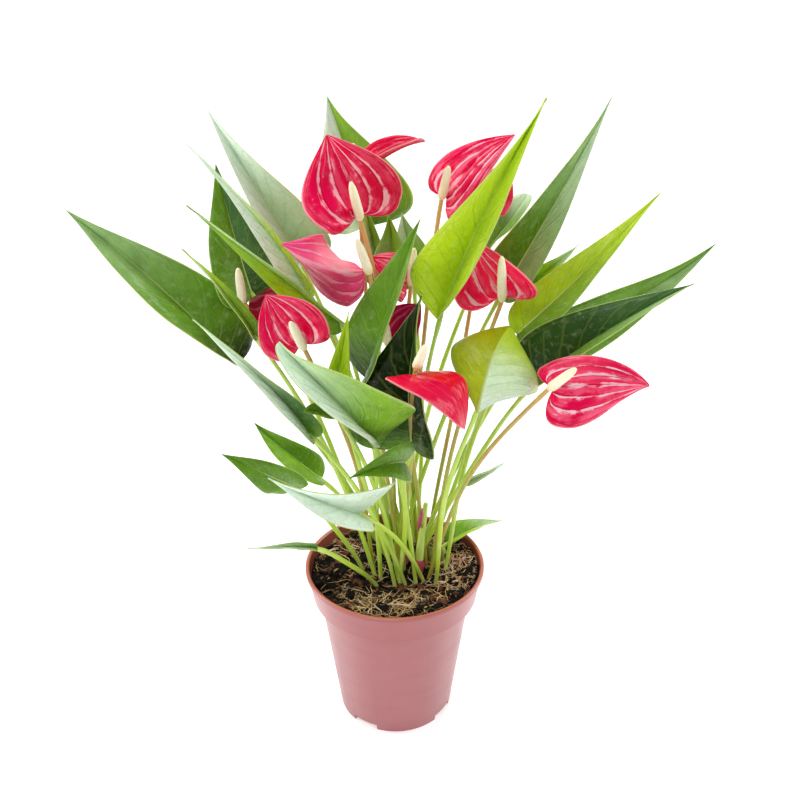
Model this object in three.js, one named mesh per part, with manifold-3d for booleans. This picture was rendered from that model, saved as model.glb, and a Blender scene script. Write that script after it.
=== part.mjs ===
// An anthurium in a round nursery pot: the pot, the potting mix, and the leaves and flowers that grow out
// of it.
// Millimetres, +Z up. The pot's axis is the Z axis and its feet stand on z = 0.
import * as THREE from "three";
import { mergeVertices } from "three/addons/utils/BufferGeometryUtils.js";
import Module from "manifold-3d";

const wasm = await Module();
wasm.setup();

// ---- driving dimensions ----

const pot = {
  height: 115,
  rimRadius: 60,
  lipHeight: 2.6,
  collarHeight: 21.5,
  collarTopRadius: 58.7,
  collarFootRadius: 55.6,
  bodyTopRadius: 51.2,
  baseRadius: 39.1,
  wall: 1.6,
  footRingWidth: 4,
  floorUnderside: 5,
  floorThickness: 1.8,
  notches: 4,
  notchWidth: 18,
  notchHeight: 4.2,
  firstNotchDegrees: -33,
  drainHoles: 6,
  drainHoleRadius: 3.5,
  drainCircleRadius: 24,
};
const mix = {
  surface: 105,
  crownRadius: 33, // level inside this radius, where the stems come out
  bumpHeight: 1.6,
  gap: 0.4, // kept to the pot
};
const stemGap = 0.4; // between a stem's foot and the potting mix
const petiole = { radius: 1.5, footRadius: 1.9, sides: 6, steps: 5 };
const flowerStalk = { radius: 1.4, footRadius: 1.6, sides: 6, steps: 5 };
const spadix = { radius: 2.7, sides: 8, steps: 6 };
const blade = { thickness: 0.8, stations: 8, sides: 2 };

// The outline of half a blade is a curve from the joint to the tip, pulled towards two points. Each is given
// as the share of the blade's length and of its half width.
const leafForm = [[-0.05, 2.0], [0.52, 0.4]];
const diamondForm = [[0.35, 0.5], [0.62, 1.9]];
const taperForm = [[0.25, 1.6], [0.25, 0.9]];
const shieldForm = [[0.44, 1.57], [1.03, 1.0]];
const roundForm = [[-0.1, 1.1], [0.95, 1.6]];
const spatheForm = [[-0.45, 1.36], [0.45, 1.31]];
const spatheStandoff = 3.5; // from the stalk's centre to the spathe's notch

// A leaf is given by where its petiole stands in the mix, where the blade joins it, where the blade's tip is,
// the way its upper side faces, its full width, the degrees that each half folds up from the midrib, and how
// far the midrib arches up and sweeps to the right. Twist is the turn of the face from joint to tip, in
// degrees, and skew the share by which the right half is wider than the left.
const leaves = {
  left_broad: { foot: [-23, 6], joint: [-95, 5, 261], tip: [-197, 40, 348], face: [7, -13, 13],
    width: 56, fold: 28, arch: 8, twist: -74 },
  left_pale: { foot: [-17, 19], joint: [-59, 62, 306], tip: [-113, 75, 401], face: [4, -19, 5],
    width: 54, fold: 54, arch: 10, twist: -33, skew: 0.13 },
  left_upright: { foot: [-17, 12], joint: [-87, 34, 293], tip: [-106, 52, 372], face: [7, -18, 6],
    width: 47, fold: 17, arch: 6, sweep: -2, twist: -35, skew: -0.13 },
  left_folded: { foot: [-12, 5], joint: [-51, 25, 298], tip: [-117, 23, 391], face: [-4, -19, -3],
    width: 22, fold: 48, arch: 4, sweep: 8, twist: -20 },
  left_bright: { foot: [-9, -2], joint: [-28, 5, 285], tip: [-112, -19, 368], face: [-5, -17, -8],
    width: 25, fold: 36, arch: 3, sweep: 4 },
  left_slim: { foot: [-21, -7], joint: [-80, -14, 286], tip: [-118, -14, 341], face: [12, -13, 8],
    width: 13, fold: 50, arch: 5 },
  left_trough: { foot: [-20, -15], joint: [-48, -40, 234], tip: [-106, -62, 319],
    face: [6, -19, -1], width: 22, fold: 54, arch: 7, sweep: 5, twist: -74 },
  front_pale: { foot: [-8, -22], joint: [-10, -35, 223], tip: [-59, -78, 312], face: [0, -15, 13],
    width: 55, fold: 58, arch: 14, sweep: -2, twist: -76, skew: 0.51, form: shieldForm },
  tucked_left: { foot: [-14, -22], joint: [-29, -47, 249], tip: [-49, -67, 265],
    face: [13, -2, 15], width: 16, fold: 25, arch: -3, sweep: 6 },
  low_left_back: { foot: [-25, 13], joint: [-49, 24, 166], tip: [-94, 40, 202], face: [6, -12, 15],
    width: 32, fold: 25, arch: 5, sweep: -3, twist: -70, skew: -0.2 },
  low_left: { foot: [-27, -2], joint: [-61, -12, 182], tip: [-106, -20, 212], face: [4, -20, 0],
    width: 29, fold: 7, arch: 5, sweep: 2, twist: 74 },
  low_front: { foot: [0, -26], joint: [-21, -58, 192], tip: [-68, -92, 239], face: [12, -16, 1],
    width: 52, fold: 54, arch: 7, twist: -65, skew: 0.3 },
  small_front: { foot: [5, -20], joint: [6, -49, 222], tip: [-25, -75, 227], face: [12, -12, 10],
    width: 27, fold: 29, arch: 8, sweep: 2, twist: 25 },
  low_left_slim: { foot: [-26, -13], joint: [-48, -48, 161], tip: [-88, -62, 171],
    face: [8, -12, 14], width: 9, fold: 56, arch: 3 },
  low_right: { foot: [27, 7], joint: [37, 24, 113], tip: [76, 36, 123], face: [-4, -2, 19],
    width: 24, fold: 32, arch: 3 },
  centre_tall: { foot: [9, -5], joint: [27, -7, 293], tip: [78, -40, 428], face: [-7, -19, 0],
    width: 51, fold: 50, arch: 0, sweep: -3, twist: 56, skew: -0.17, form: taperForm },
  centre_mid: { foot: [-2, -17], joint: [-15, -26, 265], tip: [16, -18, 359], face: [-17, -9, 6],
    width: 49, fold: 22, arch: 3, sweep: 3, twist: 23, skew: -0.13 },
  bright_slim: { foot: [-12, -15], joint: [-34, -40, 258], tip: [-24, -42, 314],
    face: [0, -20, -1], width: 20, fold: 41, arch: -1 },
  centre_dark: { foot: [13, -13], joint: [11, -34, 224], tip: [16, -46, 325], face: [-14, -14, -1],
    width: 64, fold: 25, arch: 6, twist: -40 },
  top_back: { foot: [-9, 21], joint: [-19, 78, 324], tip: [-40, 92, 404], face: [2, -20, 4],
    width: 72, fold: 29, arch: 2, sweep: 2, twist: -59 },
  back_narrow: { foot: [-1, 19], joint: [-10, 52, 309], tip: [-17, 62, 346], face: [0, -19, 5],
    width: 17, fold: 45, arch: 3 },
  back_short: { foot: [-3, 11], joint: [-3, 36, 299], tip: [-2, 44, 343], face: [-1, -20, 4],
    width: 32, fold: 29, arch: 3, sweep: 2 },
  back_right: { foot: [4, 24], joint: [14, 54, 297], tip: [6, 62, 338], face: [1, -20, 4],
    width: 34, fold: 27, arch: 6 },
  right_tall: { foot: [12, 4], joint: [67, 34, 292], tip: [129, 48, 411], face: [1, -20, 2],
    width: 35, fold: 29, arch: 5, twist: 46, skew: -0.17 },
  right_bright: { foot: [25, -2], joint: [76, 14, 275], tip: [158, 26, 360], face: [-10, -12, 12],
    width: 33, fold: 20, arch: 3, sweep: 4, twist: -5 },
  right_back: { foot: [21, 11], joint: [88, 38, 257], tip: [200, 40, 324], face: [1, -20, -2],
    width: 47, fold: 25, arch: 9, sweep: 2, twist: -6, skew: -0.1 },
  right_dark: { foot: [20, -9], joint: [83, -10, 251], tip: [173, -14, 318], face: [-11, -8, 15],
    width: 53, fold: 39, arch: 8, sweep: 2, twist: 8 },
  front_right: { foot: [13, -20], joint: [45, -76, 268], tip: [69, -8, 290], face: [4, -7, 18],
    width: 62, fold: -25, arch: 6, sweep: -3, skew: 0.14, form: diamondForm },
  back_lobe: { foot: [11, 18], joint: [61, 64, 312], tip: [90, 101, 338], face: [-7, -8, 17],
    width: 19, fold: 29, arch: 1, sweep: 2, twist: 18, form: roundForm },
  back_tip: { foot: [20, 3], joint: [87, 48, 294], tip: [120, 64, 316], face: [1, -17, 10],
    width: 13, fold: 40, arch: 2 },
  low_back: { foot: [18, 20], joint: [48, 54, 143], tip: [82, 66, 154], face: [4, -18, 7],
    width: 9, fold: 50, arch: 3 },
};

// A flower is given the same way: where its stalk stands, where the spathe joins it, the spathe's tip, the
// way its inner side faces, its width and folds, and where the spadix ends.
const flowers = {
  upper_left: { foot: [-4, 4], joint: [-18, 6, 351], tip: [-36, 12, 398], face: [2, -20, 3],
    width: 64, fold: 15, sweep: 2, twist: -74, skew: -0.1, end: [-22, -18, 379] },
  upper_right: { foot: [4, 14], joint: [30, 40, 353], tip: [73, 44, 390], face: [-11, -10, 13],
    width: 41, fold: 7, arch: 6, sweep: 2, twist: -19, end: [33, 22, 377] },
  side_left: { foot: [1, -7], joint: [-13, -6, 322], tip: [-62, -16, 344], face: [5, -19, 1],
    width: 63, fold: -60, arch: 6, sweep: -4, twist: -67, skew: 0.1, end: [-20, -8, 344] },
  dark_left: { foot: [-18, 1], joint: [-89, 6, 301], tip: [-53, -2, 310], face: [-6, -10, 16],
    width: 45, fold: -38, arch: 4, end: [-89, -2, 325] },
  lower_left: { foot: [-13, -8], joint: [-50, -36, 289], tip: [-70, -34, 321], face: [2, -20, 2],
    width: 45, fold: 11, arch: 1, sweep: -1, twist: 54, skew: 0.11, end: [-55, -54, 313] },
  centre_right: { foot: [15, -3], joint: [65, 4, 301], tip: [45, 8, 339], face: [-11, -16, -4],
    width: 56, fold: 10, arch: 2, sweep: 1, twist: -13, end: [60, -28, 340] },
  right_low: { foot: [22, -16], joint: [86, -57, 273], tip: [145, -46, 269], face: [2, -18, 7],
    width: 42, fold: -14, arch: 3, sweep: -2, twist: 64, skew: 0.1, end: [97, -73, 293] },
  front_red: { foot: [6, -13], joint: [12, -68, 291], tip: [38, -82, 262], face: [13, -6, 14],
    width: 47, fold: 0, arch: 12, sweep: 3, skew: 0.15, end: [18, -58, 301] },
  back_magenta: { foot: [3, 0], joint: [-3, 4, 273], tip: [17, 10, 297], face: [-10, -15, 9],
    width: 33, fold: 6, arch: 3, end: [-5, -4, 294] },
  back_pink: { foot: [5, 6], joint: [11, 18, 306], tip: [-13, 12, 326], face: [0, -12, 14],
    width: 28, fold: 4, arch: 3, end: [13, 14, 331] },
  behind_edge: { foot: [-9, 13], joint: [-18, 23, 375], tip: [20, 48, 385], face: [-6, -1, 18],
    width: 27, fold: -10, arch: 6, sweep: 6, twist: 7, end: [-22, 20, 391] },
  behind_small: { foot: [13, 11], joint: [61, 56, 336], tip: [71, 62, 370], face: [9, -18, 0],
    width: 31, fold: 2, arch: 1, sweep: -2, twist: -20, end: [52, 30, 348] },
};

// ---- materials ----

const material = (color, roughness) => new THREE.MeshStandardMaterial({ color, roughness, metalness: 0 });
const potPlastic = material(0xb06a66, 0.45);
const pottingMix = material(0x2e2119, 0.95);
const leafGreen = material(0x3f7a2a, 0.35);
const youngGreen = material(0x9bbf12, 0.4);
const spatheRed = material(0xc4002e, 0.25);
const spadixCream = material(0xf3e2b8, 0.6);
const youngLeaves = ["left_bright", "left_slim", "bright_slim", "centre_tall", "right_bright", "back_tip"];

// ---- shaping tools ----

const vec = (p) => new THREE.Vector3(...p);

// Triangles of a closed skin made from quads, each given by its four corners anticlockwise seen from outside.
function skin(points, quads) {
  const geometry = new THREE.BufferGeometry();
  const index = quads.flatMap(([a, b, c, d]) => (d === undefined ? [a, b, c] : [a, b, c, a, c, d]));
  geometry.setAttribute("position", new THREE.Float32BufferAttribute(points.flatMap((p) => p.toArray()), 3));
  return geometry.setIndex(index);
}

// The solid that manifold-3d works on, from a geometry with a closed surface.
function solidOf(geometry) {
  const bare = geometry.clone();
  bare.deleteAttribute("normal");
  bare.deleteAttribute("uv");
  const merged = mergeVertices(bare, 1e-3);
  const vertProperties = merged.attributes.position.array;
  return new wasm.Manifold(
    new wasm.Mesh({ numProp: 3, vertProperties, triVerts: new Uint32Array(merged.index.array) }),
  );
}

function geometryOf(solid) {
  const mesh = solid.getMesh();
  const geometry = new THREE.BufferGeometry();
  geometry.setAttribute("position", new THREE.BufferAttribute(mesh.vertProperties, 3));
  geometry.setIndex(new THREE.BufferAttribute(mesh.triVerts, 1));
  return geometry;
}

// A rod along a curve. radiusAt gives its radius at each share of the length from 0 to 1.
function rod(curve, radiusAt, sides, steps) {
  const frames = curve.computeFrenetFrames(steps, false);
  const points = [];
  for (let i = 0; i <= steps; i++) {
    const centre = curve.getPointAt(i / steps);
    for (let j = 0; j < sides; j++) {
      const angle = (j / sides) * 2 * Math.PI;
      const out = frames.normals[i].clone().multiplyScalar(Math.cos(angle));
      out.addScaledVector(frames.binormals[i], Math.sin(angle));
      points.push(centre.clone().addScaledVector(out, radiusAt(i / steps)));
    }
  }
  const quads = [];
  for (let i = 0; i < steps; i++) {
    for (let j = 0; j < sides; j++) {
      const next = (j + 1) % sides;
      quads.push([i * sides + j, i * sides + next, (i + 1) * sides + next, (i + 1) * sides + j]);
    }
  }
  for (const [ring, turn] of [[0, -1], [steps, 1]]) {
    const centre = points.push(curve.getPointAt(ring / steps)) - 1;
    for (let j = 0; j < sides; j++) {
      const here = ring * sides + j;
      const next = ring * sides + ((j + 1) % sides);
      quads.push(turn > 0 ? [centre, here, next] : [centre, next, here]);
    }
  }
  return skin(points, quads);
}

// ---- stems ----

// A stem rises from the mix nearly upright and leans over towards its end.
function stemCurve(foot, end) {
  const start = new THREE.Vector3(foot[0], foot[1], mix.surface + stemGap - 2);
  const lean = 0.32;
  const rise = 0.6;
  const bend = new THREE.Vector3(
    THREE.MathUtils.lerp(start.x, end.x, lean),
    THREE.MathUtils.lerp(start.y, end.y, lean),
    THREE.MathUtils.lerp(start.z, end.z, rise),
  );
  return new THREE.QuadraticBezierCurve3(start, bend, end);
}

// Cut off level at the foot, just clear of the mix.
function stemSolid(foot, end, size) {
  const radiusAt = (share) => THREE.MathUtils.lerp(size.footRadius, size.radius, Math.min(1, share * 3));
  const stem = solidOf(rod(stemCurve(foot, end), radiusAt, size.sides, size.steps));
  return stem.trimByPlane([0, 0, 1], mix.surface + stemGap);
}

// ---- blades: leaves and spathes ----

// The part of a direction that is square to an axis.
function squareTo(direction, axis) {
  return direction.clone().addScaledVector(axis, -direction.dot(axis)).normalize();
}

// The midrib's curve, bent to the upper side by arch and to the right by sweep.
function midribOf(sheet) {
  const joint = vec(sheet.joint);
  const tip = vec(sheet.tip);
  const chord = tip.clone().sub(joint).normalize();
  const up = squareTo(vec(sheet.face), chord);
  const side = chord.clone().cross(up);
  const bend = joint.clone().add(tip).multiplyScalar(0.5);
  bend.addScaledVector(up, 2 * (sheet.arch ?? 0)).addScaledVector(side, 2 * (sheet.sweep ?? 0));
  return new THREE.QuadraticBezierCurve3(joint, bend, tip);
}

// A point of the blade's middle surface: along is the distance from the joint, negative in the lobes, and
// across is the distance from the midrib, positive to the right.
function bladePoint(sheet, midrib, along, across) {
  const share = THREE.MathUtils.clamp(along / midrib.getLength(), 0, 1);
  const tangent = midrib.getTangentAt(share);
  const up = squareTo(vec(sheet.face), tangent);
  up.applyAxisAngle(tangent, THREE.MathUtils.degToRad(sheet.twist ?? 0) * (share - 0.5));
  const side = tangent.clone().cross(up);
  const fold = THREE.MathUtils.degToRad(sheet.fold);
  const reach = across * (1 + Math.sign(across) * (sheet.skew ?? 0));
  const point = midrib.getPointAt(share).addScaledVector(tangent, Math.min(0, along));
  point.addScaledVector(side, reach * Math.cos(fold));
  return point.addScaledVector(up, Math.abs(reach) * Math.sin(fold));
}

// A heart-shaped sheet with a notch at the joint. Stations run round each half's outline from the notch to
// the tip.
function bladeSolid(sheet, form) {
  const midrib = midribOf(sheet);
  const outline = new THREE.CubicBezierCurve(
    new THREE.Vector2(0, 0),
    new THREE.Vector2(...form[0]),
    new THREE.Vector2(...form[1]),
    new THREE.Vector2(1, 0),
  );
  const firstStation = 0.06;
  const lastStation = 0.985;
  const midribEase = 1.8; // how much the stations crowd together on the midrib near the joint
  const columns = 2 * blade.sides + 1;
  const middle = [];
  for (let i = 0; i < blade.stations; i++) {
    const station = THREE.MathUtils.lerp(firstStation, lastStation, i / (blade.stations - 1));
    const edge = outline.getPoint(station);
    const onMidrib = station ** midribEase;
    for (let j = 0; j < columns; j++) {
      const share = (j - blade.sides) / blade.sides;
      const along = THREE.MathUtils.lerp(onMidrib, edge.x, Math.abs(share)) * midrib.getLength();
      middle.push(bladePoint(sheet, midrib, along, (share * edge.y * sheet.width) / 2));
    }
  }
  return solidOf(thicken(middle, blade.stations, columns, blade.thickness));
}

// A closed sheet of even thickness round a grid of points.
function thicken(middle, rows, columns, thickness) {
  const limit = THREE.MathUtils.clamp;
  const at = (i, j) => middle[limit(i, 0, rows - 1) * columns + limit(j, 0, columns - 1)];
  const above = [];
  const below = [];
  for (let i = 0; i < rows; i++) {
    for (let j = 0; j < columns; j++) {
      const forward = at(i + 1, j).clone().sub(at(i - 1, j));
      const right = at(i, j + 1).clone().sub(at(i, j - 1));
      const normal = right.cross(forward).normalize().multiplyScalar(thickness / 2);
      above.push(at(i, j).clone().add(normal));
      below.push(at(i, j).clone().sub(normal));
    }
  }
  const count = rows * columns;
  const quads = [];
  const wall = (a, b) => quads.push([b, a, a + count, b + count]); // from a to b with the sheet on the left
  for (let i = 0; i < rows - 1; i++) {
    for (let j = 0; j < columns - 1; j++) {
      const a = i * columns + j;
      const face = [a, a + 1, a + columns + 1, a + columns];
      quads.push(face, face.map((k) => k + count).reverse());
    }
    wall((i + 1) * columns, i * columns);
    wall((i + 1) * columns - 1, (i + 2) * columns - 1);
  }
  for (let j = 0; j < columns - 1; j++) {
    wall(j, j + 1);
    wall((rows - 1) * columns + j + 1, (rows - 1) * columns + j);
  }
  return skin([...above, ...below], quads);
}

// The petiole runs on a little way under the blade, so the two are one body.
function leafSolid(leaf) {
  const end = midribOf(leaf).getPointAt(0.04);
  return bladeSolid(leaf, leaf.form ?? leafForm).add(stemSolid(leaf.foot, end, petiole));
}

// The spathe stands off from the stalk, so that the stalk and the spadix pass through its notch.
function spatheSolid(flower) {
  const joint = vec(flower.joint);
  const chord = vec(flower.tip).sub(joint).normalize();
  const inward = squareTo(vec(flower.face), chord);
  const start = joint.addScaledVector(chord, spatheStandoff).addScaledVector(inward, -1.4);
  return bladeSolid({ ...flower, joint: start.toArray() }, spatheForm);
}

// A spadix is a blunt rod that is thinner at its root.
function spadixSolid(flower) {
  const root = vec(flower.joint);
  const curve = new THREE.LineCurve3(root, vec(flower.end));
  const rootShare = 0.14;
  const radiusAt = (share) => {
    if (share < rootShare) return THREE.MathUtils.lerp(flowerStalk.radius, spadix.radius, share / rootShare);
    const rest = (share - rootShare) / (1 - rootShare);
    return spadix.radius * Math.sqrt(Math.max(0.12, 1 - rest ** 3.2));
  };
  const rodSolid = solidOf(rod(curve, radiusAt, spadix.sides, spadix.steps));
  return rodSolid.add(stemSolid(flower.foot, root, flowerStalk));
}

// ---- pot and potting mix ----

function lathe(profile, segments) {
  const points = profile.map(([radius, z]) => new THREE.Vector2(radius, z));
  return new THREE.LatheGeometry(points, segments).rotateX(Math.PI / 2);
}

function potSolid() {
  const top = pot.height;
  const lipFoot = top - pot.lipHeight;
  const collarFoot = top - pot.collarHeight;
  const floorTop = pot.floorUnderside + pot.floorThickness;
  const innerBase = pot.baseRadius - pot.footRingWidth;
  const shell = lathe(
    [
      [0, pot.floorUnderside],
      [innerBase, pot.floorUnderside],
      [innerBase, 0],
      [pot.baseRadius, 0],
      [pot.bodyTopRadius, collarFoot],
      [pot.collarFootRadius - 0.6, collarFoot - 0.8],
      [pot.collarFootRadius, collarFoot],
      [pot.collarTopRadius, lipFoot - 0.6],
      [pot.rimRadius, lipFoot],
      [pot.rimRadius, top - 0.6],
      [pot.rimRadius - 0.6, top],
      [pot.rimRadius - 2, top],
      [pot.rimRadius - 2.6, top - 0.8],
      [pot.collarFootRadius - pot.wall, collarFoot + 2.2],
      [pot.bodyTopRadius - pot.wall, collarFoot + 0.8],
      [pot.baseRadius - pot.wall + 0.6, floorTop + 1],
      [pot.baseRadius - pot.wall - 0.4, floorTop],
      [0, floorTop],
    ],
    44,
  );
  let solid = solidOf(shell);
  for (let k = 0; k < pot.notches; k++) {
    const angle = THREE.MathUtils.degToRad(pot.firstNotchDegrees + (k * 360) / pot.notches);
    const notch = new THREE.BoxGeometry(12, pot.notchWidth, 2 * pot.notchHeight);
    notch.translate(pot.baseRadius - 1, 0, 0).rotateZ(angle);
    solid = solid.subtract(solidOf(notch));
  }
  for (let k = 0; k < pot.drainHoles; k++) {
    const angle = ((k + 0.5) / pot.drainHoles) * 2 * Math.PI;
    const hole = new THREE.CylinderGeometry(pot.drainHoleRadius, pot.drainHoleRadius, 20, 12);
    hole.rotateX(Math.PI / 2);
    hole.translate(pot.drainCircleRadius * Math.cos(angle), pot.drainCircleRadius * Math.sin(angle), 6);
    solid = solid.subtract(solidOf(hole));
  }
  return solid;
}

// How high the mix lies above its level surface: level round the stems, uneven towards the pot.
function mixHeight(x, y) {
  const outside = Math.max(0, (Math.hypot(x, y) - mix.crownRadius) / 20);
  const ripple = Math.sin(x * 0.31 + 1) * Math.cos(y * 0.27) + 0.6 * Math.sin(y * 0.5 - x * 0.2);
  return outside * mix.bumpHeight * ripple;
}

function mixSolid() {
  const collarFoot = pot.height - pot.collarHeight;
  const floorTop = pot.floorUnderside + pot.floorThickness + mix.gap;
  const innerTop = THREE.MathUtils.mapLinear(
    mix.surface, collarFoot + 2.2, pot.height - 0.8, pot.collarFootRadius - pot.wall, pot.rimRadius - 2.6,
  );
  const profile = [
    [0, floorTop],
    [pot.baseRadius - pot.wall - mix.gap - 0.6, floorTop],
    [pot.bodyTopRadius - pot.wall - 2 * mix.gap, collarFoot + 1.2],
    [pot.collarFootRadius - pot.wall - 2 * mix.gap, collarFoot + 2.8],
    [innerTop - 2 * mix.gap, mix.surface],
    [47, mix.surface],
    [40, mix.surface],
    [mix.crownRadius, mix.surface],
    [0, mix.surface],
  ];
  const geometry = lathe(profile, 36);
  const position = geometry.attributes.position;
  for (let i = 0; i < position.count; i++) {
    if (position.getZ(i) < mix.surface - 0.01) continue;
    position.setZ(i, mix.surface + mixHeight(position.getX(i), position.getY(i)));
  }
  return solidOf(geometry);
}

// ---- assembly ----

const plant = new THREE.Group();

function addNode(name, solid, finish) {
  const mesh = new THREE.Mesh(geometryOf(solid), finish);
  mesh.name = name;
  plant.add(mesh);
}

addNode("pot", potSolid(), potPlastic);
addNode("potting_mix", mixSolid(), pottingMix);
for (const [name, leaf] of Object.entries(leaves)) {
  addNode("leaf_" + name, leafSolid(leaf), youngLeaves.includes(name) ? youngGreen : leafGreen);
}
for (const [name, flower] of Object.entries(flowers)) {
  addNode("spathe_" + name, spatheSolid(flower), spatheRed);
  addNode("spadix_" + name, spadixSolid(flower), spadixCream);
}

export default plant;
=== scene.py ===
import bisect
import math
import random
import bpy
from mathutils import Matrix, Quaternion, Vector, noise


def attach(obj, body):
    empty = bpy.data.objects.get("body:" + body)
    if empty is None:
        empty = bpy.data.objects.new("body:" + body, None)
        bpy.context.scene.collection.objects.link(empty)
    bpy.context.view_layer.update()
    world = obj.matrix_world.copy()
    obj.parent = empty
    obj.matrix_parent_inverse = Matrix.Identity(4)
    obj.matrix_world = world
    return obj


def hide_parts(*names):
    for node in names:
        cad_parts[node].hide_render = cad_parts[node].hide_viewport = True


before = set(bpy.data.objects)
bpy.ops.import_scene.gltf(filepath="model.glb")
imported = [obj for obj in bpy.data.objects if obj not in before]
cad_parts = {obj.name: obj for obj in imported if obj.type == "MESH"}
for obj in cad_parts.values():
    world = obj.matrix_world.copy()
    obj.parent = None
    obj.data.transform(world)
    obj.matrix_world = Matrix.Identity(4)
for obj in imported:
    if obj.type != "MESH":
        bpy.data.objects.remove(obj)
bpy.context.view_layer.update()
mm = 0.001
print("frame loaded,", len(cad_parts), "nodes")


# small tools used all through

def deselectAll():
    bpy.ops.object.select_all(action="DESELECT")


def pickOnly(*items):
    deselectAll()
    for item in items:
        item.select_set(True)
    bpy.context.view_layer.objects.active = items[0]


def newest(name):
    made = bpy.context.active_object
    made.name = name
    made.data.name = name
    return made


def useModifier(item, kind, **settings):
    pickOnly(item)
    made = item.modifiers.new(kind.title(), kind)
    for key, value in settings.items():
        setattr(made, key, value)
    bpy.ops.object.modifier_apply(modifier=made.name)


def joinAll(name, items):
    pickOnly(*items)
    bpy.ops.object.join()
    return newest(name)


def smooth(item):
    pickOnly(item)
    bpy.ops.object.shade_smooth()


def copyOf(item, matrix):
    # a copy with its own mesh, already turned into place
    twin = item.copy()
    twin.data = item.data.copy()
    twin.data.transform(matrix)
    bpy.context.collection.objects.link(twin)
    return twin


def place(at, along, size, spin):
    # the matrix that stands a shape modelled along +Z at a point, pointing along a direction
    turn = Vector((0, 0, 1)).rotation_difference(Vector(along)).to_matrix().to_4x4()
    return Matrix.Translation(at) @ turn @ Matrix.Rotation(spin, 4, "Z") @ Matrix.Diagonal((*size, 1))


def linear(red, green, blue):
    # a colour as the eye reads it on a screen, turned into light
    return tuple(c / 12.92 if c <= 0.04045 else ((c + 0.055) / 1.055) ** 2.4 for c in (red, green, blue))


def standFor(piece, node):
    # the finished piece rides on the part's one body and takes the place of a CAD node
    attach(piece, "root")
    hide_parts(node)


def between(low, high, share):
    return low + (high - low) * share


def ease(low, high, value):
    # 0 at low, 1 at high, smooth between
    t = min(1.0, max(0.0, (value - low) / (high - low)))
    return t * t * (3 - 2 * t)


# materials

class Wire:
    # one shader socket that takes part in ordinary sums

    def __init__(self, finish, socket):
        self.finish = finish
        self.socket = socket

    def sum(self, operation, first, second=0.0):
        return self.finish.node("ShaderNodeMath", {"operation": operation}, {0: first, 1: second})

    def __add__(self, other):
        return self.sum("ADD", self, other)

    def __sub__(self, other):
        return self.sum("SUBTRACT", self, other)

    def __rsub__(self, other):
        return self.sum("SUBTRACT", other, self)

    def __mul__(self, other):
        return self.sum("MULTIPLY", self, other)

    def fraction(self):
        return self.sum("FRACT", self)

    def size(self):
        return self.sum("ABSOLUTE", self)

    def step(self, low, high):
        # 0 below low, 1 above high, smooth between
        settings = {"interpolation_type": "SMOOTHSTEP"}
        return self.finish.node("ShaderNodeMapRange", settings, {0: self, 1: low, 2: high})

    __radd__ = __add__
    __rmul__ = __mul__


class Finish:
    # a material with one principled shader, built node by node

    def __init__(self, name, **constants):
        self.material = bpy.data.materials.new(name)
        self.material.use_nodes = True
        self.tree = self.material.node_tree
        self.skin = self.tree.nodes["Principled BSDF"]
        for key, value in constants.items():
            self.skin.inputs[key.replace("_", " ")].default_value = value

    def node(self, kind, settings=None, sockets=None, out=0):
        made = self.tree.nodes.new(kind)
        for key, value in (settings or {}).items():
            if key == "stops":
                ramp = made.color_ramp.elements
                while len(ramp) < len(value):
                    ramp.new(0.5)
                for stop, (at, colour) in zip(ramp, value):
                    stop.position = at
                    stop.color = (*colour, 1)
            else:
                setattr(made, key, value)
        for key, value in (sockets or {}).items():
            if isinstance(value, Wire):
                self.tree.links.new(value.socket, made.inputs[key])
            else:
                made.inputs[key].default_value = value
        return Wire(self, made.outputs[out])

    def feed(self, **inputs):
        for key, value in inputs.items():
            self.tree.links.new(value.socket, self.skin.inputs[key.replace("_", " ")])
        return self.material

    def mix(self, share, under, over, blend="MIX"):
        colours = {6: (*under, 1) if isinstance(under, tuple) else under}
        colours[7] = (*over, 1) if isinstance(over, tuple) else over
        settings = {"data_type": "RGBA", "blend_type": blend, "clamp_factor": True}
        return self.node("ShaderNodeMix", settings, {0: share, **colours}, out=2)

    def layered(self, colour, *layers):
        # each layer is a share and the colour that it lays over what is there
        for share, over in layers:
            colour = self.mix(share, colour, linear(*over))
        return colour

    def here(self):
        return self.node("ShaderNodeTexCoord", out=3)

    def sheet(self):
        # u runs across the blade and v from its joint to its tip
        return self.node("ShaderNodeTexCoord", out=2)

    def height(self):
        return self.node("ShaderNodeSeparateXYZ", sockets={0: self.here()}, out=2)

    def sheetPlace(self):
        # how far a point lies from the midrib and from the joint, each from 0 to 1
        across = self.node("ShaderNodeSeparateXYZ", sockets={0: self.sheet()})
        along = self.node("ShaderNodeSeparateXYZ", sockets={0: self.sheet()}, out=1)
        return (across * 2 - 1).size(), along

    def cloud(self, scale, detail, roughness, at=None):
        sockets = {"Vector": at or self.here(), "Scale": scale, "Detail": detail, "Roughness": roughness}
        return self.node("ShaderNodeTexNoise", None, sockets)

    def drawnCloud(self, at, scale, detail, roughness):
        # a cloud drawn out along the axes that have the smaller scales
        drawn = self.node("ShaderNodeMapping", sockets={0: at, "Scale": scale})
        return self.cloud(1.0, detail, roughness, drawn)

    def bump(self, height, strength, distance):
        sockets = {"Height": height, "Strength": strength, "Distance": distance}
        return self.node("ShaderNodeBump", None, sockets)

    def tone(self, out=0):
        # the colour painted on the mesh, which on a blade carries painted sheen and shade, or with 3 the
        # strength of a spathe's painted highlight streaks
        return self.node("ShaderNodeAttribute", {"attribute_name": "tone"}, out=out)
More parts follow.
